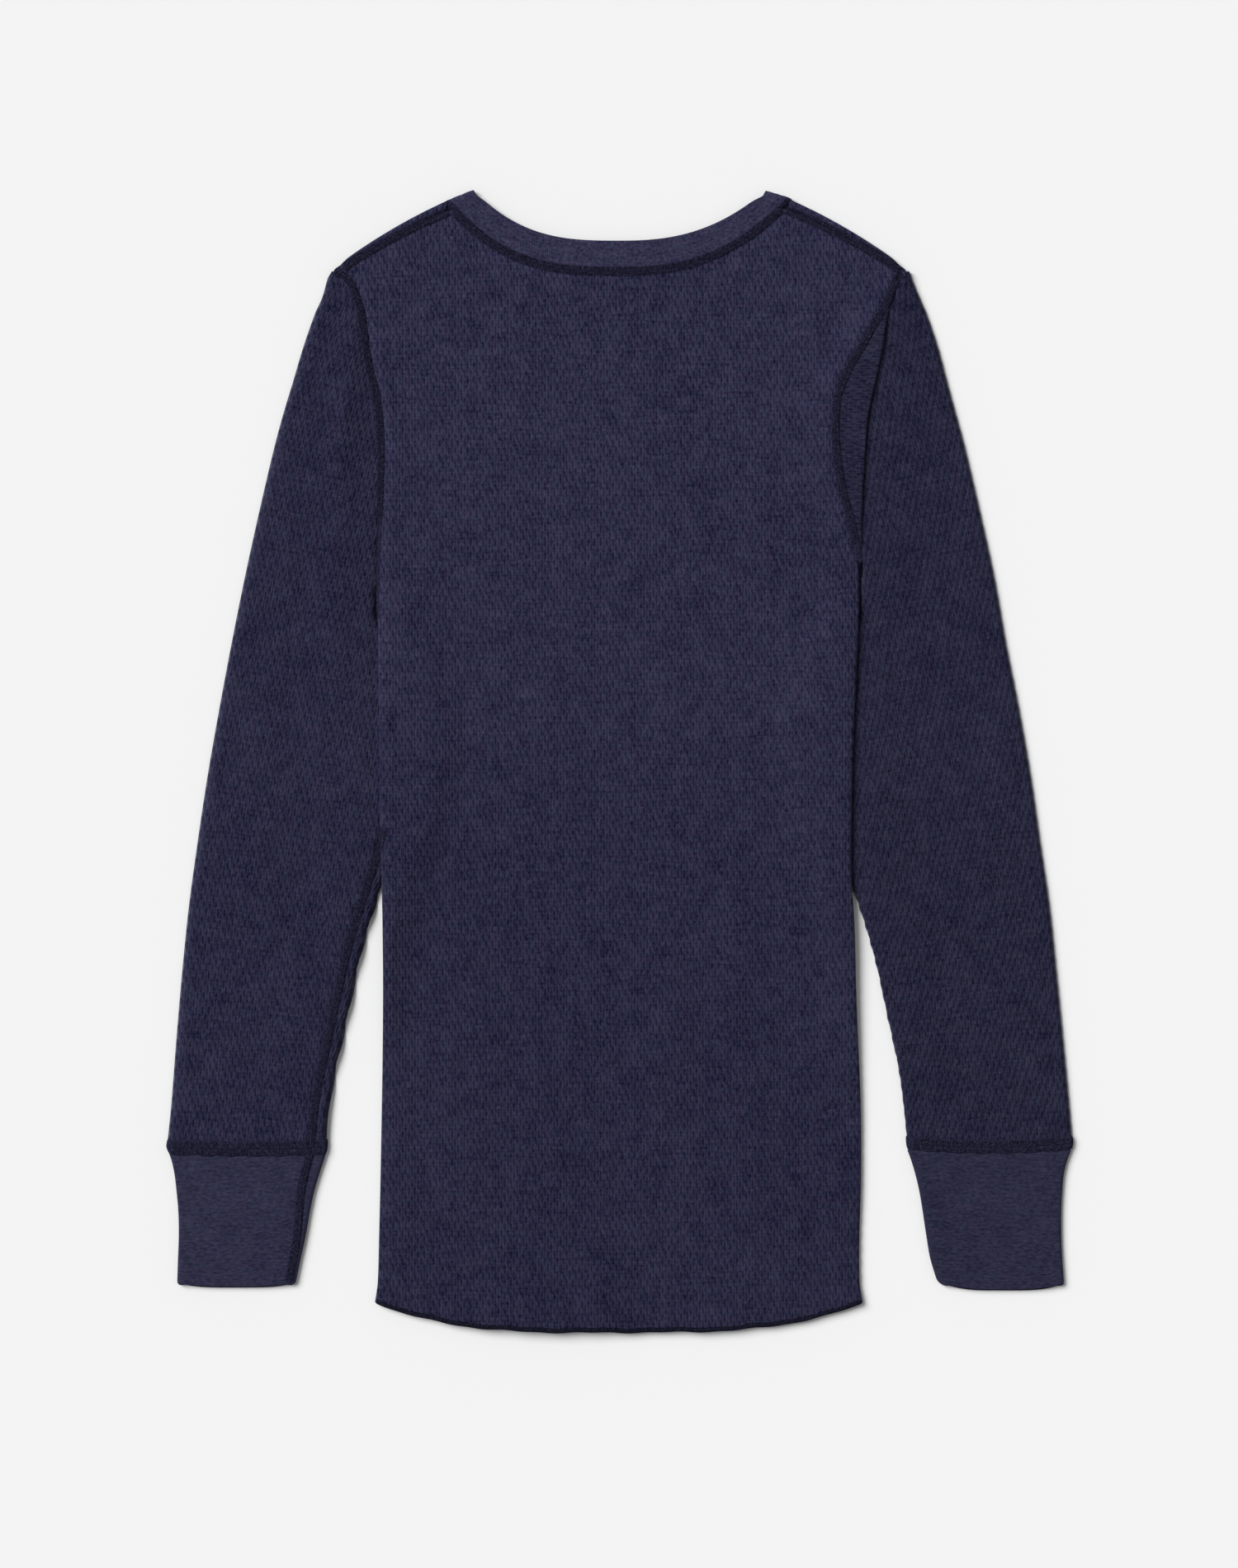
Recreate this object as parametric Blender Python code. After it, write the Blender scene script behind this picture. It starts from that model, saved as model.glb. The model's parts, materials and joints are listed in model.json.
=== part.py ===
"""A long-sleeved thermal top in waffle knit, laid out flat on its front, so that its back is on top.

Metres, +Z up, +Y towards the neck. The origin is on the floor under the middle of the garment. A drop is a
distance down the garment from its highest point. A side is -1 for the left sleeve's side (-X) and 1 for the
right one. Each piece is first made as the middle surface of its cloth, then thickened both ways by a Solidify
modifier, and neighbours stay SEAM_GAP apart where they are sewn together.
"""

import math

import bmesh
import bpy

# ------------------------------------------------------------------ driving sizes
LENGTH = 0.6645  # highest shoulder point to the lowest point of the back hem
CLOTH = 0.0012  # waffle knit, one layer
BAND_CLOTH = 0.0018  # neckband, a rib strip folded double
CUFF_CLOTH = 0.0016  # cuff, fine jersey folded double
SEAM_GAP = 0.0006

FLOOR = CLOTH / 2  # middle of a layer of knit that lies on the floor
BODY_LOFT = 0.0030  # from the middle of the front to the middle of the back
SLEEVE_LOFT = 0.0024  # from the lower to the upper layer of a sleeve
PRESSED_LOFT = 0.0018  # the same where the body lies on the sleeve
LAYER = 0.0016  # from layer to layer in the pleat
OVER_SLEEVE = PRESSED_LOFT + CLOTH + 0.0005  # how far the sleeve under it lifts the body's side

SHOULDER_HALF = 0.1625  # middle of the garment to the shoulder end of the armhole seams
SHOULDER_DROP = 0.0475
YOKE_DROP = 0.1100  # rows are level below this drop and follow the neckline above it
UNDERARM_DROP = 0.2256
LOBE_DROP = 0.2476  # below this drop the sleeves' inner folds pass under the body
HEM_ROW_DROP = 0.6000  # rows are level above this drop and follow the hem below it
CUFF_DROP = 0.5580  # cuff seams
HEM_RISE = 0.0173  # how much higher the hem is at the side seams
HEM_POWER = 3.4
FRONT_HEM_SHORTER = 0.0050

FOLD_LEAN = math.radians(28)  # the folds of the shoulders face up the garment and this far outwards
SHOULDER_OVER = (0.0033, 0.0015)  # from the turn of the fold to the shoulder seam, at neck and armhole
ARMHOLE_LIFT = {-1: 0.0010, 1: 3 * LAYER - BODY_LOFT}  # how far the layers below lift the back's edges
ARMHOLE_LIFT_WIDTH = 0.0220

HALF_LOFT = BODY_LOFT / 2
ROLL_RADIUS = 0.0010  # rolled edges of the back and front
ROLL_TAIL = HALF_LOFT - ROLL_RADIUS - SEAM_GAP / 2  # straight end of a rolled edge
ROLL_STEPS = 3
FOLD_STEPS = 4
QUARTER_STEPS = 3
STRETCH_STEPS = 5
PLEAT_RADIUS = LAYER / 2
PLEAT_OVERLAP = 0.0003  # least overlap of the pleat where it is folded at all

# ------------------------------------------------------------------ tables
# Sides of the body as it lies: the back armhole down to the underarm, then the side seam.
BODY_EDGE = (
    # drop, left, right
    (0.0475, 0.1625, 0.1625),
    (0.0550, 0.1552, 0.1588),
    (0.0650, 0.1502, 0.1548),
    (0.0780, 0.1474, 0.1474),
    (0.0900, 0.1460, 0.1408),
    (0.1040, 0.1436, 0.1328),
    (0.1180, 0.1398, 0.1270),
    (0.1320, 0.1380, 0.1252),
    (0.1500, 0.1372, 0.1256),
    (0.1720, 0.1380, 0.1286),
    (0.1940, 0.1392, 0.1344),
    (0.2100, 0.1402, 0.1374),
    (0.2256, 0.1408, 0.1392),
    (0.2736, 0.1404, 0.1378),
    (0.3216, 0.1398, 0.1356),
    (0.3696, 0.1394, 0.1346),
    (0.3980, 0.1386, 0.1346),
    (0.4270, 0.1380, 0.1364),
    (0.4700, 0.1378, 0.1376),
    (0.5328, 0.1386, 0.1402),
    (0.5760, 0.1394, 0.1404),
    (0.6096, 0.1402, 0.1394),
    (0.6360, 0.1410, 0.1396),
    (0.6472, 0.1426, 0.1414),
)

# Front armhole, which lies on the floor under the back.
FRONT_EDGE = (
    # drop, left, right
    (0.0475, 0.1625, 0.1625),
    (0.0700, 0.1500, 0.1500),
    (0.1000, 0.1375, 0.1375),
    (0.1350, 0.1300, 0.1300),
    (0.1700, 0.1305, 0.1300),
    (0.2000, 0.1352, 0.1345),
    (0.2256, 0.1408, 0.1392),
)

# Outer folds of the sleeves.
SLEEVE_OUTER = (
    # drop, left, right
    (0.0475, 0.1668, 0.1668),
    (0.0528, 0.1694, 0.1694),
    (0.0624, 0.1733, 0.1745),
    (0.0720, 0.1776, 0.1786),
    (0.0912, 0.1843, 0.1851),
    (0.1104, 0.1900, 0.1902),
    (0.1296, 0.1958, 0.1954),
    (0.1488, 0.2010, 0.2006),
    (0.1872, 0.2100, 0.2096),
    (0.2256, 0.2184, 0.2180),
    (0.2640, 0.2261, 0.2248),
    (0.3024, 0.2333, 0.2324),
    (0.3408, 0.2400, 0.2391),
    (0.3792, 0.2458, 0.2446),
    (0.4176, 0.2510, 0.2502),
    (0.4560, 0.2549, 0.2542),
    (0.4944, 0.2582, 0.2580),
    (0.5328, 0.2612, 0.2616),
    (0.5580, 0.2638, 0.2638),
)

# Inner folds of the sleeves where they are clear of the underarm. The first part is under the body.
SLEEVE_INNER = (
    # drop, left, right
    (0.2476, 0.1409, 0.1390),
    (0.2600, 0.1352, 0.1330),
    (0.2750, 0.1288, 0.1262),
    (0.2950, 0.1238, 0.1205),
    (0.3200, 0.1215, 0.1172),
    (0.3450, 0.1232, 0.1185),
    (0.3750, 0.1292, 0.1252),
    (0.4000, 0.1365, 0.1330),
    (0.4176, 0.1422, 0.1392),
    (0.4368, 0.1480, 0.1452),
    (0.4560, 0.1526, 0.1502),
    (0.4752, 0.1566, 0.1542),
    (0.4944, 0.1608, 0.1584),
    (0.5136, 0.1650, 0.1624),
    (0.5328, 0.1684, 0.1648),
    (0.5580, 0.1706, 0.1672),
)

# Pleat beside the right back armhole, where the sleeve's upper layer folds over itself.
PLEAT = (
    # drop, outer fold, overlap, how far it is folded
    (0.0475, 0.1655, 0.0000, 0.00),
    (0.0579, 0.1606, 0.0000, 0.20),
    (0.0683, 0.1570, 0.0000, 0.52),
    (0.0788, 0.1548, 0.0000, 0.84),
    (0.0892, 0.1534, 0.0000, 1.00),
    (0.0996, 0.1512, 0.0080, 1.00),
    (0.1100, 0.1490, 0.0098, 1.00),
    (0.1300, 0.1446, 0.0110, 1.00),
    (0.1500, 0.1428, 0.0110, 1.00),
    (0.1750, 0.1413, 0.0000, 1.00),
    (0.1850, 0.1410, 0.0000, 0.92),
    (0.1950, 0.1408, 0.0000, 0.75),
    (0.2050, 0.1409, 0.0000, 0.50),
    (0.2150, 0.1415, 0.0000, 0.22),
    (0.2256, 0.1424, 0.0000, 0.00),
)

# Folds of the cuffs.
CUFF = (
    # drop, left inner, left outer, right inner, right outer
    (0.5580, 0.1704, 0.2634, 0.1672, 0.2630),
    (0.5640, 0.1722, 0.2612, 0.1694, 0.2606),
    (0.5720, 0.1748, 0.2594, 0.1718, 0.2586),
    (0.5820, 0.1778, 0.2582, 0.1742, 0.2576),
    (0.5940, 0.1803, 0.2571, 0.1762, 0.2570),
    (0.6080, 0.1828, 0.2568, 0.1783, 0.2570),
    (0.6240, 0.1860, 0.2573, 0.1808, 0.2576),
    (0.6400, 0.1890, 0.2578, 0.1850, 0.2586),
)
CUFF_END_DROP = {-1: 0.6386, 1: 0.6403}
CUFF_CORNER_RISE = {-1: 0.0022, 1: 0.0036}

# Shoulders: where the cloth of the front turns up over the fold, from neck to armhole.
SHOULDER_TURN = (
    # distance from the middle, drop
    (0.0975, 0.0066),
    (0.1150, 0.0151),
    (0.1300, 0.0233),
    (0.1450, 0.0325),
    (0.1580, 0.0415),
    (0.1625, 0.0460),
)

# Neckline, drawn twice: the seam where the band is sewn on, and the edge of the opening.
NECK_SEAM = {"half": {-1: 0.0995, 1: 0.0975}, "top": {-1: 0.0088, 1: 0.0072}, "back": 0.0472, "front": 0.0930}
NECK_OPENING = {"half": {-1: 0.0830, 1: 0.0820}, "top": {-1: 0.0020, 1: 0.0024}, "back": 0.0293, "front": 0.0752}
NECK_POWER = {-1: 3.0, 1: 2.5}
NECK_STEPS = 12

# Lifted waves along the back hem.
HEM_WAVES = (
    # centre, half width, lift
    (-0.0560, 0.0420, 0.0022),
    (-0.0120, 0.0200, 0.0010),
    (0.0560, 0.0330, 0.0008),
)
HEM_WAVE_DEPTH = 0.0900

LEVEL_DROPS = (0.1300, 0.1550, 0.1750, 0.1850, 0.1950, 0.2050, 0.2150, UNDERARM_DROP, 0.2316, 0.2386,
               LOBE_DROP, 0.2580, 0.2720, 0.2950, 0.3200, 0.3450, 0.3750, 0.4000, 0.4200, 0.4500)
BODY_DROPS = LEVEL_DROPS + (0.4900, 0.5450)
SLEEVE_DROPS = LEVEL_DROPS + (0.5000, CUFF_DROP - SEAM_GAP / 2)

NAVY = (0.024, 0.024, 0.052)
RIB_NAVY = (0.032, 0.032, 0.062)


# ------------------------------------------------------------------ small tools
def smooth(value, low, high):
    """0 below low, 1 above high, and an even S between them."""
    share = min(max((value - low) / (high - low), 0.0), 1.0)
    return share * share * (3 - 2 * share)


def mix(a, b, share):
    return a + (b - a) * share


def spread(low, high, steps):
    """Even values from low to high, both included."""
    return [mix(low, high, i / steps) for i in range(steps + 1)]


def read(table, column, where):
    """A table's column on a smooth curve through its rows."""
    rows = [(row[0], row[column]) for row in table]
    where = min(max(where, rows[0][0]), rows[-1][0])
    index = next((i for i in range(len(rows) - 2) if where < rows[i + 1][0]), len(rows) - 2)
    (x0, y0), (x1, y1) = rows[index], rows[index + 1]

    def slope(i):
        before, after = rows[max(i - 1, 0)], rows[min(i + 1, len(rows) - 1)]
        return (after[1] - before[1]) / (after[0] - before[0])

    span = x1 - x0
    t = (where - x0) / span
    return (
        y0 * (2 * t**3 - 3 * t**2 + 1)
        + slope(index) * span * (t**3 - 2 * t**2 + t)
        + y1 * (3 * t**2 - 2 * t**3)
        + slope(index + 1) * span * (t**3 - t**2)
    )


def side_column(side):
    """The column of a side in a table of drop, left, right."""
    return 1 if side < 0 else 2


def side_of(x):
    return -1 if x < 0 else 1


def arc(centre, height, radius, start, end, steps):
    """Points round an arc as distance and height. Angle 0 points outwards and 90 degrees points up."""
    angles = [math.radians(a) for a in spread(start, end, steps)]
    return [(centre + radius * math.cos(a), height + radius * math.sin(a)) for a in angles]


def material(name, colour, roughness):
    made = bpy.data.materials.new(name)
    made.use_nodes = True
    shader = made.node_tree.nodes["Principled BSDF"]
    shader.inputs["Base Color"].default_value = (*colour, 1)
    shader.inputs["Roughness"].default_value = roughness
    return made


def add_patch(mesh, rows, ring):
    """Adds a grid of points, given as x, drop and z. In a ring each row's last point meets its first."""
    grid = [[mesh.verts.new((x, LENGTH / 2 - drop, z)) for x, drop, z in row] for row in rows]
    for upper, lower in zip(grid, grid[1:]):
        for j in range(len(upper) if ring else len(upper) - 1):
            after = (j + 1) % len(upper)
            mesh.faces.new((upper[j], upper[after], lower[after], lower[j]))


def cloth_piece(name, patches, thickness, finish, ring=False):
    """One piece of cloth, thickened both ways from the middle surface that the patches make."""
    shape = bmesh.new()
    for rows in patches:
        add_patch(shape, rows, ring)
    bmesh.ops.remove_doubles(shape, verts=shape.verts, dist=0.000001)
    bmesh.ops.recalc_face_normals(shape, faces=shape.faces)
    mesh = bpy.data.meshes.new(name)
    shape.to_mesh(mesh)
    shape.free()
    mesh.materials.append(finish)
    mesh.shade_smooth()
    piece = bpy.data.objects.new(name, mesh)
    bpy.context.scene.collection.objects.link(piece)
    wall = piece.modifiers.new("Thickness", "SOLIDIFY")
    wall.thickness = thickness
    wall.offset = 0
    return piece


# ------------------------------------------------------------------ outlines
def body_edge(side, drop):
    return read(BODY_EDGE, side_column(side), drop)


def front_edge(side, drop):
    if drop >= UNDERARM_DROP:
        return body_edge(side, drop)
    return read(FRONT_EDGE, side_column(side), drop)


def sleeve_outer(side, drop):
    return read(SLEEVE_OUTER, side_column(side), drop)


def sleeve_inner(side, drop):
    if drop < LOBE_DROP:
        return body_edge(side, drop) + SEAM_GAP
    return read(SLEEVE_INNER, side_column(side), drop)


def hem_drop(share):
    """The back hem's drop at a share of the half width."""
    return LENGTH - HEM_RISE * abs(share) ** HEM_POWER


def neck_drop(line, x, layer):
    """Drop of a neckline at x on the back or front layer: flat in the middle and steep at the shoulders."""
    side = side_of(x)
    share = min(abs(x) / line["half"][side], 1.0)
    return mix(line[layer], line["top"][side], share ** NECK_POWER[side])


def fold_start(side):
    """Distance from the middle at which the fold of the shoulder starts, beside the neckband."""
    return NECK_SEAM["half"][side] + 2 * SEAM_GAP


def neck_end(side):
    """Distance from the middle at which the back's neckline meets the shoulder seam."""
    seam_drop = read(SHOULDER_TURN, 1, fold_start(side)) + SHOULDER_OVER[0]
    share = (NECK_SEAM["back"] - seam_drop) / (NECK_SEAM["back"] - NECK_SEAM["top"][side])
    return NECK_SEAM["half"][side] * share ** (1 / NECK_POWER[side])


def neck_columns(ends):
    """x of the columns along a neckline, closer together towards its steep ends."""
    turns = [math.sin(math.pi / 2 * u) for u in spread(-1, 1, NECK_STEPS)]
    return [turn * ends[side_of(turn)] for turn in turns]


# ------------------------------------------------------------------ heights and rolled edges
def back_roll(side, drop):
    """How far the back's edge rolls down: 0 lies flat and 1 is a quarter turn."""
    if side < 0:
        return smooth(drop, SHOULDER_DROP + 0.008, SHOULDER_DROP + 0.032)
    return smooth(drop, UNDERARM_DROP - 0.012, UNDERARM_DROP + 0.006)


def front_roll(side, drop):
    """How far the front's edge rolls up. The two sides do it alike."""
    return smooth(drop, UNDERARM_DROP, UNDERARM_DROP + 0.012)


def turned_in(edge, roll):
    """Where a panel's middle surface ends, given the outside of its edge."""
    return edge - mix(SEAM_GAP / 2, CLOTH / 2, roll)


def roll_path(roll):
    """Steps along an edge that rolls by that much, as distance and depth from where it starts."""
    quarter = ROLL_RADIUS * math.pi / 2
    flat = quarter * (1 - roll)
    points = []
    for along in spread(0, quarter, ROLL_STEPS)[1:]:
        angle = max(along - flat, 0) / ROLL_RADIUS
        distance = min(along, flat) + ROLL_RADIUS * math.sin(angle)
        points.append((distance, ROLL_RADIUS * (1 - math.cos(angle))))
    angle = roll * math.pi / 2
    distance, depth = points[-1]
    return points + [(distance + ROLL_TAIL * math.cos(angle), depth + ROLL_TAIL * math.sin(angle))]


def roll_start(edge, roll):
    """Where the roll of a panel's edge starts, given the outside of the edge."""
    return turned_in(edge, roll) - roll_path(roll)[-1][0]


def over_sleeve(x, drop, reach):
    """1 where the body lies on a sleeve, falling to 0 over reach just inside the sleeve's inner fold."""
    inner = sleeve_inner(side_of(x), max(drop, LOBE_DROP)) - 0.010
    return smooth(abs(x), inner - reach, inner) * smooth(drop, UNDERARM_DROP + 0.002, LOBE_DROP - 0.001)


def front_height(x, drop):
    return FLOOR + OVER_SLEEVE * over_sleeve(x, drop, 0.016)


def back_height(x, drop):
    """Middle of the back's cloth above the floor."""
    side = side_of(x)
    edge = body_edge(side, drop)
    by_armhole = (
        smooth(abs(x), edge - ARMHOLE_LIFT_WIDTH, edge - 2 * ROLL_RADIUS)
        * smooth(drop, SHOULDER_DROP, SHOULDER_DROP + 0.020)
        * (1 - smooth(drop, UNDERARM_DROP - 0.030, UNDERARM_DROP + 0.010))
    )
    waves = sum(lift * math.exp(-(((x - centre) / width) ** 2)) for centre, width, lift in HEM_WAVES)
    return (
        FLOOR + BODY_LOFT
        + ARMHOLE_LIFT[side] * by_armhole
        + OVER_SLEEVE * over_sleeve(x, drop, 0.024)
        + waves * smooth(drop, LENGTH - HEM_WAVE_DEPTH, LENGTH)
    )


# ------------------------------------------------------------------ body
class Panel:
    """A body panel's rules: its top points, its edges, its heights and how its edges roll."""

    def __init__(self, tops, top_drop, edge, height, roll, turn, hem_shift):
        self.tops = tops
        self.top_drop = top_drop
        self.edge = edge
        self.height = height
        self.roll = roll
        self.turn = turn
        self.hem_shift = hem_shift
        first, last = tops[0][0], tops[-1][0]
        self.shares = [(x - first) / (last - first) for x, _ in tops]

    def row(self, side_drop, drops):
        """One row. Its ends are at side_drop and drops gives the drop of each column between them."""
        rolls = {side: self.roll(side, side_drop) for side in (-1, 1)}
        starts = {side: roll_start(self.edge(side, side_drop), rolls[side]) for side in (-1, 1)}
        ends = {}
        for side, start in starts.items():
            height = self.height(side * start, side_drop)
            ends[side] = [(side * (start + distance), side_drop, height + self.turn * depth)
                          for distance, depth in roll_path(rolls[side])]
        middle = []
        for share, drop in zip(self.shares, drops):
            x = mix(-starts[-1], starts[1], share)
            middle.append((x, drop, self.height(x, drop)))
        return ends[-1][::-1] + middle + ends[1]

    def rows(self):
        """All rows from the shoulders to the hem."""
        rows = []
        for side_drop in [self.top_drop] + YOKE_SIDES[1:]:
            up = (YOKE_DROP - side_drop) / (YOKE_DROP - self.top_drop)
            rows.append(self.row(side_drop, [mix(YOKE_DROP, top, up) for _, top in self.tops]))
        for drop in BODY_DROPS:
            rows.append(self.row(drop, [drop] * len(self.tops)))
        for down in (0, 0.4, 0.75, 1):
            hem = [hem_drop(2 * share - 1) - self.hem_shift for share in [0] + self.shares]
            drops = [mix(HEM_ROW_DROP, drop, down) for drop in hem]
            rows.append(self.row(drops[0], drops[1:]))
        return rows


YOKE_SIDES = spread(SHOULDER_DROP, YOKE_DROP, 6)
SHOULDER_INNER = roll_start(SHOULDER_HALF, 0)
SHOULDER_STEPS = 5
EDGE_COLUMNS = ROLL_STEPS + 1


def shoulder_turns(side):
    """Where the front's cloth turns over the shoulder, from the neck to the start of the edge roll."""
    columns = spread(fold_start(side), SHOULDER_INNER, SHOULDER_STEPS)
    return [(side * x, read(SHOULDER_TURN, 1, x)) for x in columns]


def shoulder_seams(side):
    """Points on the shoulder seam, one for each point of shoulder_turns."""
    start = neck_end(side)
    points = []
    for share, (_, drop) in zip(spread(0, 1, SHOULDER_STEPS), shoulder_turns(side)):
        over = mix(SHOULDER_OVER[0], SHOULDER_OVER[1], share)
        points.append((side * mix(start, SHOULDER_INNER, share), drop + over))
    return points


def make_back(finish):
    """The back: a scooped neckline, armhole and side edges that roll down, and a curved, wavy hem."""
    ends = {side: neck_end(side) for side in (-1, 1)}
    neck = [(x, neck_drop(NECK_SEAM, x, "back")) for x in neck_columns(ends)]
    outline = shoulder_seams(-1)[:0:-1] + neck + shoulder_seams(1)[1:]
    tops = [(x, drop + SEAM_GAP / 2) for x, drop in outline]
    panel = Panel(tops, SHOULDER_DROP, body_edge, back_height, back_roll, -1, 0)
    return cloth_piece("back", [panel.rows()], CLOTH, finish)


def shoulder_fold(side, turns, seams):
    """The front's cloth from the shoulder seam over the fold of the shoulder to the floor layer."""
    rows = [[(x, drop - SEAM_GAP / 2, FLOOR + BODY_LOFT) for x, drop in seams]]
    for angle in spread(0, math.pi, FOLD_STEPS):
        out = HALF_LOFT * math.sin(angle)
        z = FLOOR + HALF_LOFT * (1 + math.cos(angle))
        lean, rise = side * out * math.sin(FOLD_LEAN), out * math.cos(FOLD_LEAN)
        rows.append([(x + lean, drop - rise, z) for x, drop in turns])
    return rows


def make_front(finish):
    """The front, which lies on the floor and wraps over the shoulders to the shoulder seams."""
    neck = [(x, neck_drop(NECK_SEAM, x, "front") + SEAM_GAP / 2) for x in neck_columns(NECK_SEAM["half"])]
    tops = shoulder_turns(-1)[::-1] + neck[1:-1] + shoulder_turns(1)
    panel = Panel(tops, read(SHOULDER_TURN, 1, SHOULDER_INNER), front_edge, front_height, front_roll, 1,
                  FRONT_HEM_SHORTER)
    rows = panel.rows()
    patches = [rows]
    count = SHOULDER_STEPS + 1 + EDGE_COLUMNS
    for side in (-1, 1):
        top_row = rows[0][:count] if side < 0 else rows[0][-count:]
        turns = [(x, drop) for x, drop, _ in sorted(top_row, key=lambda point: abs(point[0]))]
        seams = shoulder_seams(side)
        share = 2 * SEAM_GAP / abs(seams[1][0] - seams[0][0])
        seams[0] = tuple(mix(a, b, share) for a, b in zip(*seams[:2]))
        seams += [(x, seams[-1][1]) for x, _ in turns[-EDGE_COLUMNS:]]
        patches.append(shoulder_fold(side, turns, seams))
    return cloth_piece("front", patches, CLOTH, finish)


# ------------------------------------------------------------------ neckband
def band_part(xs, layer, height):
    """Stations along one half of the neckband, as pairs of points: on the seam and on the opening."""
    stations = []
    for x in xs:
        side = side_of(x)
        opening_x = x * NECK_OPENING["half"][side] / NECK_SEAM["half"][side]
        seam = (x, neck_drop(NECK_SEAM, x, layer) - SEAM_GAP / 2, height)
        opening = (opening_x, neck_drop(NECK_OPENING, opening_x, layer), height)
        stations.append((seam, opening))
    return stations


def band_fold(side, upper, lower):
    """Stations round the fold at one end, between the band's upper and lower halves."""
    middle, radius = (upper + lower) / 2, (upper - lower) / 2
    (seam, opening), = band_part([side * (NECK_SEAM["half"][side] - SEAM_GAP / 2)], "back", middle)
    stations = []
    for angle in spread(0, math.pi, FOLD_STEPS):
        out, z = radius * math.sin(angle), middle + radius * math.cos(angle)
        lean, rise = side * out * math.sin(FOLD_LEAN), out * math.cos(FOLD_LEAN)
        stations.append(tuple((x + lean, drop - rise, z) for x, drop, _ in (seam, opening)))
    return stations


def make_neckband(finish):
    """The band, a ring that lies on the floor in front and on top behind, folded at its two ends."""
    upper, lower = FLOOR + BODY_LOFT, BAND_CLOTH / 2
    ends = {side: neck_end(side) for side in (-1, 1)}
    back = band_part(neck_columns(ends), "back", upper)
    front = band_part(neck_columns(NECK_SEAM["half"])[1:-1], "front", lower)
    stations = back + band_fold(1, upper, lower) + front[::-1] + band_fold(-1, upper, lower)[::-1]
    across = (0, 0.5, 1)
    rows = [[tuple(mix(a, b, share) for a, b in zip(*station)) for station in stations] for share in across]
    return cloth_piece("neckband", [rows], BAND_CLOTH, finish, ring=True)


# ------------------------------------------------------------------ sleeves
def upper_height(side, distance, drop, start=None):
    """Middle of a sleeve's upper layer. start is the distance and height where it leaves an armhole seam."""
    covered = smooth(drop, UNDERARM_DROP, UNDERARM_DROP + 0.015) * (1 - smooth(drop, 0.4000, 0.4500))
    edge = body_edge(side, drop)
    pressed = covered * (1 - smooth(distance, edge, edge + 0.015))
    height = FLOOR + mix(SLEEVE_LOFT, PRESSED_LOFT, pressed)
    if start is None:
        return height
    return mix(start[1], height, smooth(distance - start[0], 0, 0.025))


def pleat(drop, begin, end):
    """The pleat's S in section, from the upper layer's first point over and back under itself.

    Where the cloth isn't folded all its points are one.
    """
    fold, overlap, share = (read(PLEAT, column, drop) for column in (1, 2, 3))
    fall = (begin[1] - FLOOR - LAYER) * min(max(share, 0), 1)
    crest = min(fold - CLOTH / 2 - PLEAT_RADIUS, mix(begin[0], end, 0.5))
    if fall <= 0:
        return [(crest, begin[1])] * (2 * FOLD_STEPS + 2)
    turn = math.acos(max(1 - fall / LAYER, -1))
    angles = spread(0, turn, FOLD_STEPS)
    over = [(PLEAT_RADIUS * math.sin(a), PLEAT_RADIUS * (1 - math.cos(a))) for a in angles]
    length = max(overlap, PLEAT_OVERLAP)
    last = (2 * over[-1][0] + length * math.cos(turn), 2 * over[-1][1] + length * math.sin(turn))
    under = [(last[0] - x, last[1] - down) for x, down in reversed(over)]
    return [(crest + x, begin[1] - fall * down / last[1]) for x, down in over + under]


def round_outer_fold(side, drop, begin, start=None):
    """A section from begin along the upper layer, round the outer fold and back to it on the floor."""
    outer = sleeve_outer(side, drop) - CLOTH / 2
    radius = (upper_height(side, outer - SLEEVE_LOFT / 2, drop, start) - FLOOR) / 2
    upper = [(x, upper_height(side, x, drop, start)) for x in spread(begin[0], outer - radius, STRETCH_STEPS)]
    return upper[1:-1] + arc(outer - radius, FLOOR + radius, radius, 90, -90, FOLD_STEPS)


def open_row(side, drop):
    """A sleeve above the underarm: from the back armhole seam over the outer fold to the front's."""
    edge, roll = body_edge(side, drop), back_roll(side, drop)
    level = back_height(side * roll_start(edge, roll), drop)
    start = (edge + SEAM_GAP, level - roll * (HALF_LOFT - CLOTH / 4))
    end = (front_edge(side, drop) + SEAM_GAP / 2, FLOOR)
    points = [start] * (QUARTER_STEPS + 1)
    if side > 0:
        points += pleat(drop, start, sleeve_outer(side, drop) - SLEEVE_LOFT)
    points += round_outer_fold(side, drop, points[-1], points[-1])
    points += [(x, FLOOR) for x in spread(points[-1][0], end[0], STRETCH_STEPS)[1:]]
    return points + [end] * QUARTER_STEPS


def tube_row(side, drop):
    """A sleeve below the underarm: from its inner fold over the outer fold and along the floor back to it."""
    inner = sleeve_inner(side, drop) + CLOTH / 2
    radius = (upper_height(side, inner, drop) - FLOOR) / 2
    points = arc(inner + radius, FLOOR + radius, radius, 180, 90, QUARTER_STEPS)
    if side > 0:
        points += [points[-1]] * (2 * FOLD_STEPS + 2)
    points += round_outer_fold(side, drop, points[-1])
    points += [(x, FLOOR) for x in spread(points[-1][0], inner + radius, STRETCH_STEPS)[1:]]
    return points + arc(inner + radius, FLOOR + radius, radius, 270, 180, QUARTER_STEPS)[1:]


def make_sleeve(side, name, finish):
    """A sleeve, cut in one piece: open at the armhole, and a flattened tube from the underarm down."""
    rows = []
    for drop in YOKE_SIDES + list(SLEEVE_DROPS):
        section = open_row(side, drop) if drop <= UNDERARM_DROP else tube_row(side, drop)
        rows.append([(side * distance, drop, z) for distance, z in section])
    return cloth_piece(name, [rows], CLOTH, finish)


# ------------------------------------------------------------------ cuffs
CUFF_LOFT = SLEEVE_LOFT + CLOTH - CUFF_CLOTH  # from the lower to the upper layer of a cuff
CUFF_STEPS = 6


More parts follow.
